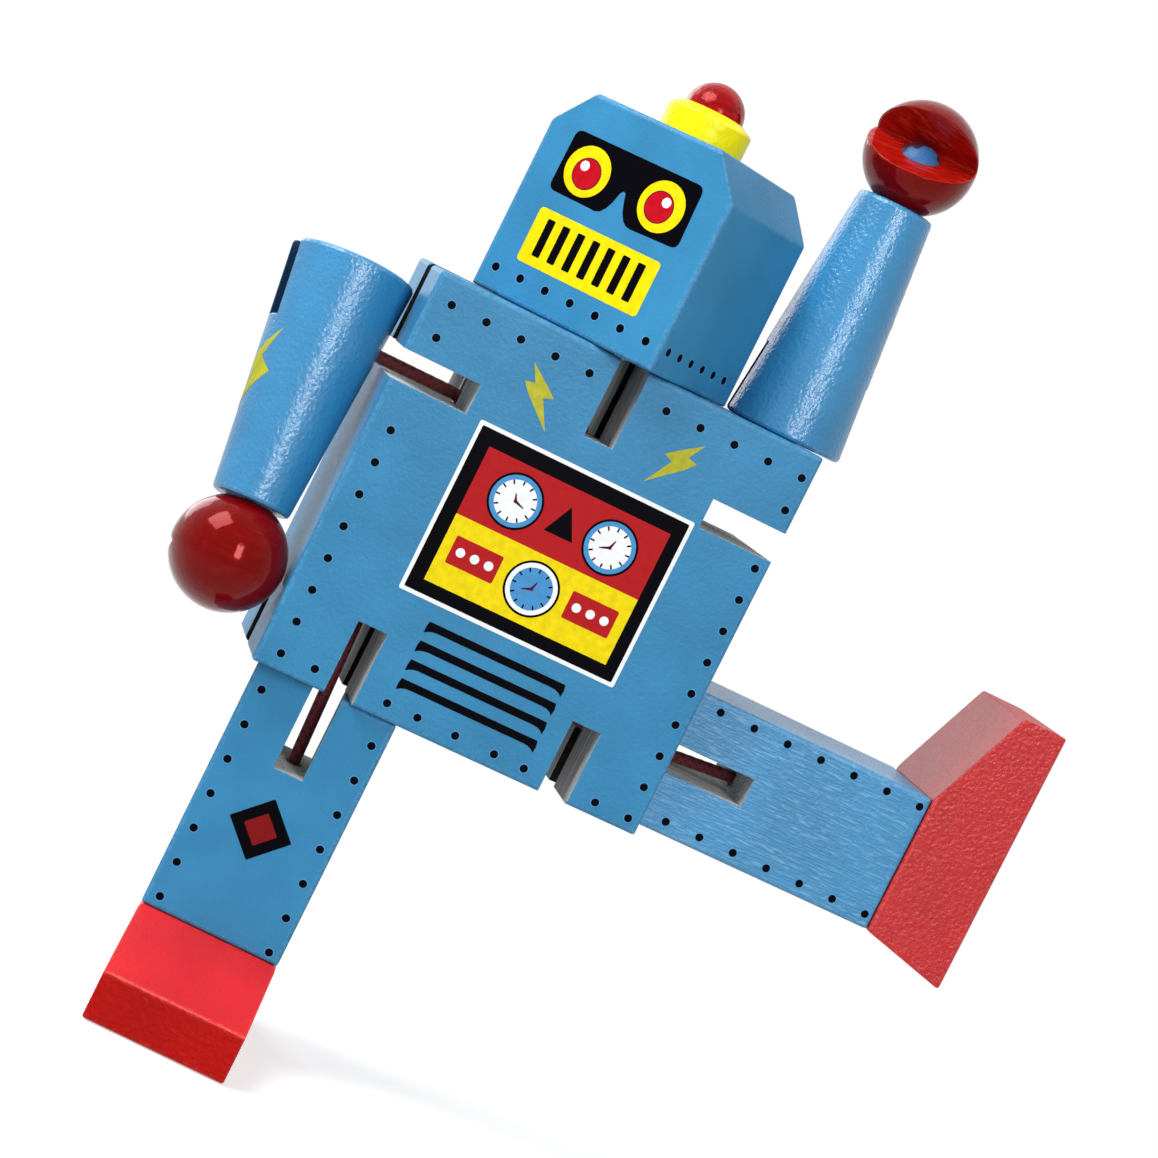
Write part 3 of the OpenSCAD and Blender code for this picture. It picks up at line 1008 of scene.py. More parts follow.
def braid_rings(centres: Sequence[Vector], length: float, radius: float) -> list[Vector]:
    """The points of a braid's skin: strands that cross stand proud of its gaps.

    Args:
        centres: the middles of its rings, in mm.
        length: the cord's length.
        radius: its outer radius.

    Returns:
        The points in metres, ring after ring.
    """
    last = len(centres) - 1
    across = (centres[1] - centres[0]).normalized().orthogonal().normalized()
    points: list[Vector] = []
    for i, centre in enumerate(centres):
        along = (centres[min(i + 1, last)] - centres[max(i - 1, 0)]).normalized()
        across = (across - along * across.dot(along)).normalized()
        side = along.cross(across)
        lay = length * i / last / (radius * BRAID_LAY)
        shrink = CUT_END[min(i, last - i, 2)]
        for k in range(BRAID_SIDES):
            a = 2 * math.pi * k / BRAID_SIDES
            high = max(abs(math.cos(BRAID_STRANDS * (a + way * lay) / 2)) for way in (1, -1))
            r = (radius - BRAID_RELIEF * (1 - high)) * shrink
            points.append((centre + across * math.cos(a) * r + side * math.sin(a) * r) * MM)
    return points


def braided_cord(name: str, path: Sequence[Vector], radius: float) -> Object:
    """A braided cord along a path.

    Args:
        name: the piece's name.
        path: the centreline in the row frame, in mm, its bends already fine.
        radius: the cord's outer radius in mm.

    Returns:
        The cord as a closed mesh with a UV map that follows it.
    """
    centres, length = even_points(path, BRAID_PITCH)
    rings, sides = len(centres) - 1, BRAID_SIDES
    faces: list[tuple[int, ...]] = []
    for i in range(rings):
        for k in range(sides):
            n = (k + 1) % sides
            faces.append((i * sides + k, i * sides + n, (i + 1) * sides + n, (i + 1) * sides + k))
    faces.append(tuple(reversed(range(sides))))
    faces.append(tuple(rings * sides + k for k in range(sides)))
    mesh = bpy.data.meshes.new(name)
    mesh.from_pydata([tuple(v) for v in braid_rings(centres, length, radius)], [], faces)
    chart = mesh.uv_layers.new(name="cord")
    for polygon in mesh.polygons:
        polygon.use_smooth = True
        closing = polygon.index < rings * sides and polygon.index % sides == sides - 1
        for loop in polygon.loop_indices:
            ring, k = divmod(mesh.loops[loop].vertex_index, sides)
            around = sides if k == 0 and closing else k
            chart.data[loop].uv = (around / sides, length * ring / rings / (2 * math.pi * radius))
    cord = add_object(name, mesh)
    mesh.materials.append(ELASTIC.get())
    edit(cord, bpy.ops.mesh.normals_make_consistent)
    return cord


def arc(centre: Vector, start: Vector, end: Vector, steps: int = 10) -> list[Vector]:
    """An arc round a centre.

    Args:
        centre: the centre.
        start: where it starts.
        end: where it ends, as far from the centre as the start.
        steps: its pieces.

    Returns:
        The arc's points after its start.
    """
    a, b = start - centre, end - centre
    angle = a.angle(b)
    axis = a.cross(b).normalized()
    return [centre + Matrix.Rotation(angle * i / steps, 3, axis) @ a for i in range(1, steps + 1)]


def knot_path(radius: float, height: float, tail: float) -> list[Vector]:
    """An overhand knot, pulled tight, from the cord above it to its cut tail.

    Args:
        radius: the knot's outer radius in mm.
        height: its height along +Z in mm.
        tail: how far the tail stands past it.

    Returns:
        The centreline from the origin, with the knot at positive Z.
    """
    thick = height * KNOT_THICK
    wide, tall = (radius - thick) / 3, height / 2 - thick
    points = [Vector((0, 0, 0.0)), Vector((0.1, 0, height * 0.2))]
    count, gap = 72, 0.35
    for i in range(count + 1):
        t = gap + (2 * math.pi - 2 * gap) * i / count
        x = wide * (math.sin(t) + 2 * math.sin(2 * t))
        y = wide * (math.cos(t) - 2 * math.cos(2 * t))
        points.append(Vector((x, y, height / 2 - tall * math.sin(3 * t))))
    return [*points, Z * height * 0.8, Z * (height + tail)]


# Wood


def dress(node: str, *finishes: Finish) -> Object:
    """Gives a CAD node its finishes, the first of them all over.

    Args:
        node: the CAD node.
        finishes: the finishes.

    Returns:
        The node's object.
    """
    obj = frame["nodes"][node]
    obj.data.materials.clear()
    for finish in finishes:
        obj.data.materials.append(finish.get())
    return obj


def dress_where(node: str, choose: Callable[[Vector, Vector], int], *finishes: Finish) -> None:
    """Gives a CAD node several finishes, chosen by each face's middle in mm and its normal."""
    for polygon in dress(node, *finishes).data.polygons:
        polygon.material_index = choose(polygon.center / MM, polygon.normal)


@dataclass
class Torso:
    """The sawn torso block, with its painted faces, bare slots, dials, grille and rivets."""

    saw: float = 6.0
    rivet: float = 0.8
    panel_across: Pair = (-21.75, 23.65)
    panel_up: Pair = (-16.3, 18.6)
    panel_line: float = 0.8
    field_across: Pair = (-18.1, 20.35)
    field_low: float = -12.9
    field_split: float = 0.85
    field_high: float = 14.7
    plate_up: float = -5.55
    louvre_tops: Sequence[float] = (-19.6, -23.55, -27.5, -31.45)

    def build(self) -> None:
        """Dresses the block and prints its front."""
        dress_where("torso_block", self.finish_at, BLUE_UPRIGHT, SAWN_PAINTED_PALE, KERF_SHADE)
        self.print_panel()
        self.print_marks()

    def finish_at(self, middle: Vector, normal: Vector) -> int:
        """Paint outside, bare wood coloured paler as painted light in the slots, and painted shade in the
        kerfs.

        Args:
            middle: the face's middle in mm.
            normal: its normal; not used.

        Returns:
            The finish's place.
        """
        p = middle - TORSO_MIDDLE
        deep = min(TORSO_HALF_WIDTH - abs(p.x), TORSO_HALF_DEPTH - abs(p.y), TORSO_TOP - abs(p.z))
        if deep < SKIN:
            return 0
        return 2 if abs(p.y) <= self.saw / 2 + 0.05 and abs(p.z) > KERF_LEVEL - 0.05 else 1

    def print_panel(self) -> None:
        """The framed panel with its gauges, signal plates and arrowhead."""
        printer = Printer(TORSO_FACE)
        printer.outline(rounded(box(self.panel_across, self.panel_up), 0.4, 2), 0, WHITE_INK)
        line = self.panel_line
        across = (self.panel_across[0] + line, self.panel_across[1] - line)
        up = (self.panel_up[0] + line, self.panel_up[1] - line)
        printer.outline(rounded(box(across, up), 0.3, 2), 1, BLACK_INK)
        printer.outline(box(self.field_across, (self.field_split, self.field_high)), 2, RED_INK)
        printer.outline(box(self.field_across, (self.field_low, self.field_split)), 2, YELLOW_INK)
        printer.dial((-9.1, 7.6), (BLUE_INK, WHITE_INK), [(-21, 1.5), (108, 2.0)], 3)
        printer.dial((11.0, 7.4), (BLUE_INK, WHITE_INK), [(17, 1.7), (248, 2.1)], 3)
        printer.dial((1.05, -5.95), (WHITE_INK, BLUE_INK), [(17, 1.6), (248, 2.0)], 3)
        printer.outline([(-1.9, 5.1), (4.05, 5.15), (1.05, 11.15)], 3, BLACK_INK)
        for x in (-11.15, 13.35):
            plate = box((x - 4.9, x + 4.9), (self.plate_up - 2.8, self.plate_up + 2.8))
            printer.outline(rounded(plate, 0.4, 3), 3, RED_INK)
            for aside in (-2.95, 0.0, 2.95):
                printer.rings((x + aside, self.plate_up), [(0.9, WHITE_INK)], 4, sides=24)
        printer.finish("chest_panel_print", "torso")

    def print_marks(self) -> None:
        """The grille bars, the two flashes and the rows of rivets."""
        printer = Printer(TORSO_FACE)
        louvre = [(-13.5, 0.0), (15.2, 0.0), (15.45, -1.2), (15.3, -2.5), (14.7, -1.95), (13.9, -1.65)]
        louvre += [(12.8, -1.55), (-11.2, -1.55), (-12.2, -1.68), (-12.95, -1.95)]
        louvre += [(-13.65, -2.4), (-13.7, -1.2)]
        for top in self.louvre_tops:
            printer.outline([(x, top + z) for x, z in louvre], 0, BLACK_INK)
        for side in (-1, 1):
            printer.outline([(0.6 + side * (15.0 + x), 27.0 + z) for x, z in FLASH], 0, OLIVE_INK)
        rivets = row((-36.0, 9.4), (-36.0, -36.8), 8)
        rivets += row((38.0, 15.8), (37.8, -37.6), 9)
        rivets += row((-36.1, 35.05), (-7.3, 35.05), 5) + row((9.0, 35.05), (38.2, 35.05), 5)
        rivets += [(-36.0, 28.4), (38.15, 28.2), (-29.0, -36.8), (30.6, -37.5)]
        rivets += [(-13.9, -36.95), (-7.5, -37.05), (0.5, -37.15), (8.8, -37.25), (15.2, -37.35)]
        printer.dots(rivets, self.rivet)
        printer.finish("torso_marks_print", "torso")


@dataclass
class Head:
    """The head block with its printed visor, eyes and mouth, and the lamp on top."""

    rivet: float = 0.85
    pocket: float = 4.2
    pocket_floor: float = 3.95
    mouth_across: Pair = (-14.95, 13.95)
    mouth_up: Pair = (7.7, 18.8)
    bar_up: Pair = (9.6, 17.2)
    bar_half: float = 0.88
    bar_first: float = -11.4
    bar_pitch: float = 3.625

    def build(self) -> None:
        """Dresses the head's nodes and prints its faces."""
        dress_where("head_block", self.finish_at, BLUE_UPRIGHT, SAWN_PAINTED_PALE)
        dress("lamp_collar", YELLOW)
        dress("lamp_ball", LAMP_RED)
        self.print_face()
        self.print_side()

    def finish_at(self, middle: Vector, normal: Vector) -> int:
        """Paint outside and bare wood in the bore and the knot's pocket.

        Args:
            middle: the face's middle in mm.
            normal: its normal.

        Returns:
            The finish's place.
        """
        p = middle - HEAD_BASE
        away = math.hypot(p.x, p.y)
        wall = away < self.pocket and abs(normal.z) < 0.5
        return 1 if wall or away < self.pocket_floor and 1 < p.z < 42 else 0

    def print_face(self) -> None:
        """The black visor with its two lamp eyes, and the barred mouth plate."""
        printer = Printer(HEAD_FACE)
        corners = [(-15.5, 22.3), (-15.3, 34.8), (15.0, 34.8), (15.4, 22.2)]
        notch = [(4.6, 21.9), (3.4, 22.1), (2.5, 22.75), (1.6, 24.0), (0.9, 25.7), (0.35, 27.5)]
        notch += [(-0.2, 27.75), (-0.75, 27.2), (-1.3, 25.2), (-2.1, 23.5), (-3.0, 22.5)]
        notch += [(-4.2, 22.1), (-5.4, 22.2)]
        printer.outline(rounded(corners, 1.7) + notch, 0, BLACK_INK)
        for ring, iris, glint in (
            ((-9.26, 28.2), (-9.19, 27.75), (-10.25, 29.0)),
            ((8.47, 28.15), (8.05, 27.9), (9.15, 29.2)),
        ):
            printer.rings(ring, [(5.0, YELLOW_INK)], 1, sides=56)
            printer.rings(iris, [(3.15, MAROON_INK), (2.95, EYE_INK)], 2, sides=48)
            printer.rings(glint, [(0.98, WHITE_INK)], 3, sides=28)
        printer.outline(rounded(box(self.mouth_across, self.mouth_up), 0.9, 3), 0, YELLOW_INK)
        for i in range(7):
            x = self.bar_first + self.bar_pitch * i
            bar = box((x - self.bar_half, x + self.bar_half), self.bar_up)
            printer.outline(rounded(bar, 0.25, 2), 1, BLACK_INK)
        printer.dots(row((-18.2, 4.7), (18.2, 4.7), 7), self.rivet)
        printer.finish("face_print", "head")

    def print_side(self) -> None:
        """The rivets low on the head's side."""
        printer = Printer(HEAD_SIDE)
        printer.dots(row((-13.5, 4.7), (11.0, 4.6), 6), self.rivet)
        printer.finish("head_side_print", "head")


class Side(Enum):
    """The viewer's left and right."""

    LEFT = "left"
    RIGHT = "right"


def slice_mesh(u: float) -> None:
    """Cuts the whole mesh that is being edited along a line u mm across."""
    bpy.ops.mesh.select_all(action="SELECT")
    bpy.ops.mesh.bisect(plane_co=(u * MM, 0, 0), plane_no=(1, 0, 0))


@dataclass
class Arm:
    """A turned arm with its flash, and the ball hand on its narrow end."""

    side: Side
    place: Matrix
    front: float
    turned: float
    flash_turn: float = 0.0
    flash_shift: float = 0.0
    narrow: float = 7.8
    skin: float = 0.35
    end_skin: float = 0.9
    slot_half: float = 3.01
    bore: float = 2.1
    ball_skin: float = 0.12
    strip: float = 0.7
    strips: int = 13

    def build(self) -> None:
        """Dresses the arm and its hand and prints the flash."""
        name = self.side.value
        dress_where(f"{name}_arm", self.arm_finish_at, BLUE_TURNED, BLUE_SLOT_SHADE)
        dress_where(f"{name}_hand_ball", self.hand_finish_at, HAND_RED, HAND_CUT)
        dress(f"{name}_hand_bead", BEAD_BLUE)
        self.print_flash()

    @cached_property
    def inside(self) -> Matrix:
        """From the row frame to the arm's own, with its slot across Y."""
        return (self.place @ turn(-self.turned, "Z")).inverted()

    def radius_at(self, along: float) -> float:
        """The arm's radius at a distance from its wide end."""
        return ARM_WIDE + (self.narrow - ARM_WIDE) * along / ARM_LENGTH

    def arm_finish_at(self, middle: Vector, normal: Vector) -> int:
        """Painted shade, a darker blue, on the slot's walls and in the bore.

        Args:
            middle: the face's middle in mm.
            normal: its normal; not used.

        Returns:
            The finish's place.
        """
        p = self.inside @ middle
        away = math.hypot(p.x, p.y)
        beside_slot = abs(p.y) > self.slot_half
        outside = away > self.radius_at(p.z) - self.skin and (beside_slot or p.z > ARM_SLOT)
        wide_end = p.z < self.end_skin and beside_slot
        narrow_end = p.z > ARM_LENGTH - self.end_skin and away > self.bore
        return 0 if outside or wide_end or narrow_end else 1

    def hand_finish_at(self, middle: Vector, normal: Vector) -> int:
        """Streaked lacquer where the mouth is cut into the ball."""
        p = self.inside @ middle - Z * HAND_UP
        return 0 if p.length > HAND_RADIUS - self.ball_skin else 1

    def cone_point(self, around: float, along: float, lift: float) -> Vector:
        """A point on the arm.

        Args:
            around: its distance round the arm from the front, in mm.
            along: its distance from the wide end.
            lift: its height above the paint.

        Returns:
            The point in metres.
        """
        angle = around / self.radius_at(along)
        r = (self.radius_at(along) + lift) * self.front
        return self.place @ Vector((math.sin(angle) * r, -math.cos(angle) * r, along)) * MM

    def print_flash(self) -> None:
        """The flash round the arm's outer side: a flat patch cut into strips and wrapped."""
        printer = Printer(Face(Vector((0, 0, 0)), X, Y))
        points = [(u + self.flash_turn, v + self.flash_shift) for u, v in ARM_FLASH]
        patch = printer.outline(points, 0, OLIVE_INK)
        first = self.flash_turn + 8.5
        edit(patch, *[partial(slice_mesh, first + self.strip * i) for i in range(self.strips)])
        for vertex in patch.data.vertices:
            vertex.co = self.cone_point(vertex.co.x / MM, vertex.co.y / MM, printer.lift(0))
        patch.data.update()
        edit(patch, bpy.ops.mesh.quads_convert_to_tris)
        face = patch.data.polygons[0]
        if face.normal.dot(face.center - self.place @ (Z * ARM_LENGTH / 2) * MM) < 0:
            edit(patch, bpy.ops.mesh.flip_normals)
        printer.finish(f"{self.side.value}_arm_flash_print", f"{self.side.value}_arm")


@dataclass
class Leg:
    """A square leg with its rivets, and the foot under it."""

    side: Side
    place: Matrix
    face: Face
    finish: Finish
    slot_finish: Finish
    foot_finish: Finish
    foot_turn: float
    rivets: Sequence[Pair]
    diamond_up: float | None = None
    rivet: float = 0.8
    sole_bore: float = 5.3

    def build(self) -> None:
        """Dresses the leg and its foot and prints the leg's front."""
        name = self.side.value
        dress_where(f"{name}_leg", self.finish_at, self.finish, self.slot_finish)
        dress_where(f"{name}_foot", self.foot_finish_at, self.foot_finish, FOOT_END, SAWN_PAINTED_PALE, FOOT_TOE_SHADED)
        dress(f"{name}_sole_plug", FOOT_RED)
        self.print_front()

    @cached_property
    def inside(self) -> Matrix:
        """From the row frame to the leg's own."""
        return self.place.inverted()

    @cached_property
    def in_foot(self) -> Matrix:
        """From the row frame to the foot's own, with its toe along X."""
        ankle = Matrix.Translation(Z * (LEG_LENGTH + SEAT)) @ turn(self.foot_turn, "Z")
        return (self.place @ ankle @ turn(180, "X")).inverted()

    def print_front(self) -> None:
        """The rivets, and a diamond on the leg that has one."""
        printer = Printer(self.face)
        printer.dots(self.rivets, self.rivet)
        if self.diamond_up is not None:
            for half, layer, ink in ((6.45, 0, BLACK_INK), (3.45, 1, DIAMOND_INK)):
                up, down = self.diamond_up + half, self.diamond_up - half
                corners = [(half, self.diamond_up), (0.0, up), (-half, self.diamond_up), (0.0, down)]
                printer.outline(rounded(corners, 0.25, 2), layer, ink)
        printer.finish(f"{self.side.value}_leg_print", f"{self.side.value}_leg")

    def finish_at(self, middle: Vector, normal: Vector) -> int:
        """Bare wood in the slot and the bore, paint outside.

        Args:
            middle: the face's middle in mm.
            normal: its normal; not used.

        Returns:
            The finish's place.
        """
        p = self.inside @ middle
        outside = max(abs(p.x), abs(p.y)) > LEG_HALF - SKIN
        return 0 if outside or p.z < SKIN or p.z > LEG_LENGTH - SKIN else 1

    def foot_finish_at(self, middle: Vector, normal: Vector) -> int:
        """End grain on the two profile faces, red darkened as painted shade on the toe, bare wood in the
        bore.

        Args:
            middle: the face's middle in mm.
            normal: its normal.

        Returns:
            The finish's place.
        """
        p = self.in_foot @ middle
        out = self.in_foot.to_3x3() @ normal
        if math.hypot(p.x, p.y) < self.sole_bore and -18.7 < p.z < -0.3 and abs(out.z) < 0.9:
            return 2
        if abs(out.y) > 0.7:
            return 1
        return 3 if out.x > 0.9 else 0


@dataclass
class Cords:
    """All the elastic cord: inner runs, stretch pieces across the joints, and knots."""

    radius: float = 1.25
    thin: float = 1.12
    big_knot: Pair = (2.9, 4.0)
    neck_knot: Pair = (2.7, 4.0)
    hand_knot: Pair = (1.9, 2.5)
    tail: float = 1.1
    hand_tail: float = 0.6
    shoulder_run: Pair = (-25.0, -50.3)
    overlap: float = 9.0
    in_bore: float = 0.6
    hip_drop: float = 1.5

    def lay(self, name: str, node: str, path: Sequence[Vector], body: str, radius: float) -> None:
        """Lays a cord that rides on one body in place of a CAD node.

        Args:
            name: the piece's name.
            node: the CAD node that it replaces.
            path: its centreline in mm.
            body: the body that it rides on.
            radius: its radius in mm.
        """
        cord = braided_cord(name, path, radius)
        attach(cord, body)
        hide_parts(node)
        log.info("%s: %d faces on %s", name, len(cord.data.polygons), body)

    def stretch(self, name: str, node: str, path: Sequence[Vector], limb: str) -> None:
        """Lays a cord between the torso and a limb's body, fixed where it lies in the row frame.

        Args:
            name: the piece's name.
            node: the CAD node that it replaces.
            path: its centreline in mm, from the torso to the limb.
            limb: the limb's body.
        """
        cord = braided_cord(name, path, self.radius)
        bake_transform(cord)
        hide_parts(node)
        log.info("%s: %d faces between torso and %s", name, len(cord.data.polygons), limb)

    def knot(self, name: str, node: str, place: Matrix, size: Pair, body: str, tail: float) -> None:
        """Ties a knot of size, radius and height, where a CAD node was, its cord from below."""
        path = [place @ p for p in knot_path(*size, tail)]
        self.lay(name, node, path, body, size[1] * KNOT_THICK)

    def build(self) -> None:
        """Lays the cords limb by limb."""
        self.lay_torso()
        self.lay_joints()
        self.lay_limbs()

    @cached_property
    def hip_slope(self) -> float:
        """How steeply the raised leg's cord falls as it leaves the side bore."""
        return self.hip_drop / (TORSO_HALF_WIDTH - SIDE_BORE)

    @cached_property
    def hip_exit(self) -> Vector:
        """Where the raised leg's cord has turned out of the side bore, from the torso's middle."""
        side = TORSO_HALF_WIDTH - SIDE_BORE - BEND
        return Vector((SIDE_BORE + BEND, 0.0, RAISED_HIP - self.hip_drop - self.hip_slope * side))

    def lay_torso(self) -> None:
        """The runs in the torso's bores, and the knot under its neck slot."""
        t, b = torso_point, BEND
        top = SHOULDER - b
        left = [t(-SIDE_BORE, -KERF_LEVEL - 0.15), t(-SIDE_BORE, top)]
        left += arc(t(-SIDE_BORE - b, top), t(-SIDE_BORE, top), t(-SIDE_BORE - b, SHOULDER))
        self.lay("left_torso_cord", "left_side_cord", left, "torso", self.radius)
        low = self.hip_exit.z + b
        right = [t(SIDE_BORE, KERF_LEVEL), t(SIDE_BORE, low)]
        right += arc(t(SIDE_BORE + b, low), t(SIDE_BORE, low), t(SIDE_BORE + b, self.hip_exit.z))
        self.lay("right_torso_cord", "right_side_cord", right, "torso", self.radius)
        neck = [t(0, -KERF_LEVEL), t(0, KERF_LEVEL)]
        self.lay("neck_bore_cord", "neck_cord", neck, "torso", self.radius)
        under = Matrix.Translation(t(0, -KERF_LEVEL)) @ turn(180, "X")
        self.knot("neck_tied_knot", "neck_knot", under, self.neck_knot, "torso", self.tail)

    def lay_joints(self) -> None:
        """The stretches between the torso and the limbs, and the legs' runs that take them over."""
        t = torso_point
        bore = KERF_LEVEL - self.in_bore
        neck = [t(0, bore), t(HEAD_SHIFT, TORSO_TOP + SEAT)]
        self.stretch("neck_elastic", "neck_stretch_cord", neck, "neck")
        run = [t(x, SHOULDER) for x in self.shoulder_run]
        self.stretch("left_shoulder_elastic", "left_shoulder_cord", run, "left_shoulder")
        run = [t(SIDE_BORE, bore), t(ARM_OUT, TORSO_TOP + SEAT + ARM_SLOT)]
        self.stretch("right_shoulder_elastic", "right_shoulder_cord", run, "right_shoulder")
        hip, mouth = t(-SIDE_BORE, -bore), t(-HIP, -TORSO_TOP - SEAT - LEG_SLOT)
        self.stretch("left_hip_elastic", "left_hip_cord", [hip, mouth], "left_hip")
        right_mouth = t(TORSO_HALF_WIDTH + SEAT + LEG_SLOT, RAISED_HIP)
        right_hip = TORSO_MIDDLE + self.hip_exit - Vector((0.5, 0.0, 0.5 * self.hip_slope))
        self.stretch("right_hip_elastic", "right_hip_cord", [right_hip, right_mouth], "right_hip")
        for side, start, bend, way in (
            (Side.LEFT, hip, mouth, -Z),
            (Side.RIGHT, right_hip, right_mouth, X),
        ):
            leg = f"{side.value}_leg"
            back = bend + (start - bend).normalized() * self.overlap
            run = [back, bend, bend + way * (FOOT_KNOT - LEG_SLOT)]
            self.lay(f"{leg}_elastic", f"{leg}_cord", run, f"{leg}_core", self.thin)

    def lay_limbs(self) -> None:
        """The knots in the feet, the head's run and knot, and the arms' runs and knots."""
        for side, place in ((Side.LEFT, left_leg_place()), (Side.RIGHT, right_leg_place())):
            foot = f"{side.value}_foot"
            seat = place @ Matrix.Translation(Z * FOOT_KNOT)
            self.knot(f"{foot}_tied_knot", f"{foot}_knot", seat, self.big_knot, foot, self.tail)
        head_end = HEAD_BASE + Z * HEAD_KNOT
        self.lay("head_bore_cord", "head_cord", [HEAD_BASE, head_end], "head", self.radius)
        seat = Matrix.Translation(head_end)
        self.knot("head_tied_knot", "head_knot", seat, self.big_knot, "head", self.tail)
        level = Vector((BEND, 0, ARM_PIVOT))
        elbow = [level, *arc(level + Z * BEND, level, Z * (ARM_PIVOT + BEND))]
        for side, place, start in (
            (Side.LEFT, left_arm_place(), elbow),
            (Side.RIGHT, right_arm_place(), [Z * ARM_SLOT]),
        ):
            arm, hand = f"{side.value}_arm", f"{side.value}_hand"
            run = [place @ p for p in (*start, Z * HAND_SEAT)]
            self.lay(f"{arm}_elastic", f"{arm}_cord", run, arm, self.radius)
            seat = place @ Matrix.Translation(Z * HAND_SEAT)
            self.knot(f"{hand}_tied_knot", f"{hand}_knot", seat, self.hand_knot, hand, self.hand_tail)


# Studio


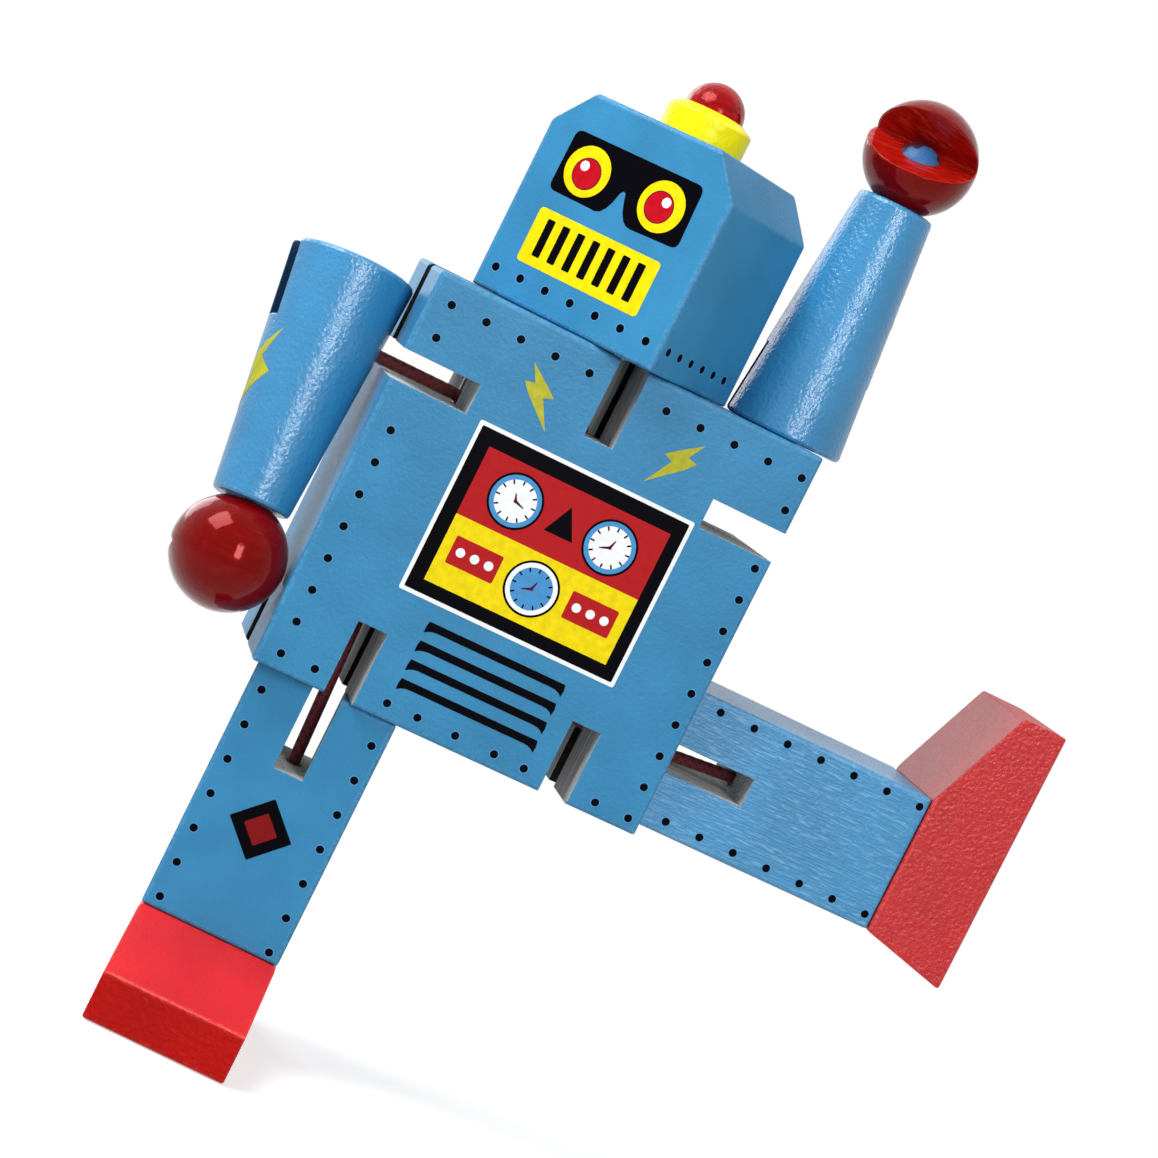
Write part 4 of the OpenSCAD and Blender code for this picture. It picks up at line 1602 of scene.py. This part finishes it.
@dataclass
class Studio:
    """The pale floor, the soft lamps and the camera at the photograph's angle."""

    world_light: float = 0.27
    key: float = 9.0
    strip: float = 7.2
    back: float = 3.0
    floor_size: float = 6.0
    floor_drop: float = 0.0002
    shadow_reach: Pair = (0.15, 0.45)
    lit_middle: Triple = (0.035, 0.0, 0.12)
    azimuth: float = 12.45
    tilt: float = 4.358
    roll: float = 26.522
    torso_seen: Triple = (-10.085, 6.808, -616.365)
    focal_px: float = 3200.0
    picture_px: float = 1158.0
    sensor: float = 36.0

    def build(self) -> None:
        """Makes the world, floor, lamps and camera."""
        self.make_world()
        self.make_floor()
        self.make_lamps()
        self.make_camera()

    def seen(self, tree: NodeTree) -> Node:
        """1 for rays that see the background: from the camera, or by gloss or glass.

        Args:
            tree: the node tree.

        Returns:
            The node that gives it.
        """
        path = add_node(tree, "LightPath")
        total = path.outputs["Is Camera Ray"]
        for ray in ("Is Glossy Ray", "Is Transmission Ray"):
            total = add_node(tree, "Math", {0: total, 1: path.outputs[ray]}, operation="ADD", use_clamp=True)
        return total

    def make_world(self) -> None:
        """An even pale sky that is white behind the object."""
        world = bpy.data.worlds.new("studio")
        bpy.context.scene.world = world
        world.use_nodes = True
        tree = world.node_tree
        tree.nodes.clear()
        sky = {"Color": (0.95, 0.98, 1.0, 1), "Strength": self.world_light}
        dim = add_node(tree, "Background", sky)
        white = add_node(tree, "Background", {"Color": (1, 1, 1, 1), "Strength": 1.0})
        mix = add_node(tree, "MixShader", {0: self.seen(tree), 1: dim, 2: white})
        add_node(tree, "OutputWorld", {"Surface": mix})

    def make_floor(self) -> None:
        """A table top that keeps the object's soft shadow and turns white away from it."""
        deselect()
        bpy.ops.mesh.primitive_plane_add(size=self.floor_size, location=(0, 0, -self.floor_drop))
        floor = bpy.context.active_object
        floor.name = "studio_floor"
        material = new_material("white_table_top")
        tree = material.node_tree
        grey = add_node(tree, "BsdfDiffuse", {"Color": (0.35, 0.35, 0.35, 1)})
        lit = add_node(tree, "BsdfDiffuse", {"Color": (0.8, 0.8, 0.8, 1)})
        glow = add_node(tree, "Emission", {"Color": (1, 1, 1, 1), "Strength": 0.5})
        near = add_node(tree, "AddShader", {0: lit, 1: glow})
        white = add_node(tree, "Emission", {"Color": (1, 1, 1, 1), "Strength": 1.0})
        place = add_node(tree, "TexCoord").outputs["Object"]
        away = add_node(tree, "VectorMath", {0: place}, operation="LENGTH")
        start, end = self.shadow_reach
        fade = add_node(tree, "MapRange", {"Value": away, "From Min": start, "From Max": end})
        pale = add_node(tree, "MixShader", {0: fade, 1: near, 2: white})
        mix = add_node(tree, "MixShader", {0: self.seen(tree), 1: grey, 2: pale})
        add_node(tree, "OutputMaterial", {"Surface": mix})
        floor.data.materials.append(material)

    def lamp(self, name: str, direction: Triple, distance: float, size: Pair, power: float) -> None:
        """A softbox that faces the object.

        Args:
            name: the lamp's name.
            direction: where it stands, seen from the object.
            distance: how far away, in metres.
            size: its width and height.
            power: its power in watts.
        """
        data = bpy.data.lights.new(name, "AREA")
        data.shape, data.size, data.size_y, data.energy = "RECTANGLE", *size, power
        lamp = add_object(name, data)
        outwards = Vector(direction)
        lamp.location = Vector(self.lit_middle) + outwards.normalized() * distance
        lamp.rotation_mode = "QUATERNION"
        lamp.rotation_quaternion = (-outwards).to_track_quat("-Z", "Y")

    def make_lamps(self) -> None:
        """A window-like key from above, a narrow strip near the camera and a weak back light."""
        self.lamp("key_softbox", (-0.66, -0.19, 0.72), 0.9, (0.5, 0.5), self.key)
        self.lamp("strip_softbox", (0.127, -0.955, 0.27), 1.1, (0.22, 0.5), self.strip)
        self.lamp("back_softbox", (-0.5, 0.82, 0.3), 1.1, (0.6, 0.6), self.back)

    def make_camera(self) -> None:
        """The camera where the photograph was taken, tilted and rolled as it was."""
        turned = turn(-self.azimuth, "Z") @ turn(90 - self.tilt, "X") @ turn(self.roll, "Z")
        place = TORSO_MIDDLE - turned.to_3x3() @ Vector(self.torso_seen)
        data = bpy.data.cameras.new("camera")
        data.sensor_width = self.sensor
        data.lens = self.focal_px / self.picture_px * self.sensor
        data.clip_start, data.clip_end = 0.01, 50.0
        camera = add_object("camera", data)
        camera.matrix_world = Matrix.Translation(place * MM) @ turned
        bpy.context.scene.camera = camera
        bpy.context.scene.view_settings.view_transform = "Standard"


def build_limbs() -> None:
    """Builds the arms and the legs, each as it is posed."""
    Arm(Side.LEFT, left_arm_place(), -1.0, 7).build()
    Arm(Side.RIGHT, right_arm_place(), 1.0, 10, flash_turn=3.8, flash_shift=2.3).build()
    Leg(
        Side.LEFT,
        left_leg_place(),
        LEFT_LEG_FACE,
        BLUE_UPRIGHT,
        SAWN_PAINTED_PALE,
        FOOT_RED,
        foot_turn=90,
        rivets=row((-11.45, -45.4), (-11.45, -89.15), 7) + row((11.7, -45.85), (11.7, -89.8), 7),
        diamond_up=-69.35,
    ).build()
    Leg(
        Side.RIGHT,
        right_leg_place(),
        RIGHT_LEG_FACE,
        BLUE_STREAKED,
        SAWN_ACROSS_PAINTED_PALE,
        FOOT_RED_SHADED,
        foot_turn=180,
        rivets=row((45.8, -12.1), (90.2, -12.1), 7) + row((45.8, -35.7), (90.2, -35.7), 7),
    ).build()


def main() -> None:
    """Builds the robot's looks in order and reports each piece."""
    logging.basicConfig(level=logging.INFO, format="%(name)s: %(message)s", stream=sys.stdout)
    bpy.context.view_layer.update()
    Studio().build()
    Torso().build()
    Head().build()
    build_limbs()
    Cords().build()


if __name__ == "__main__":
    main()
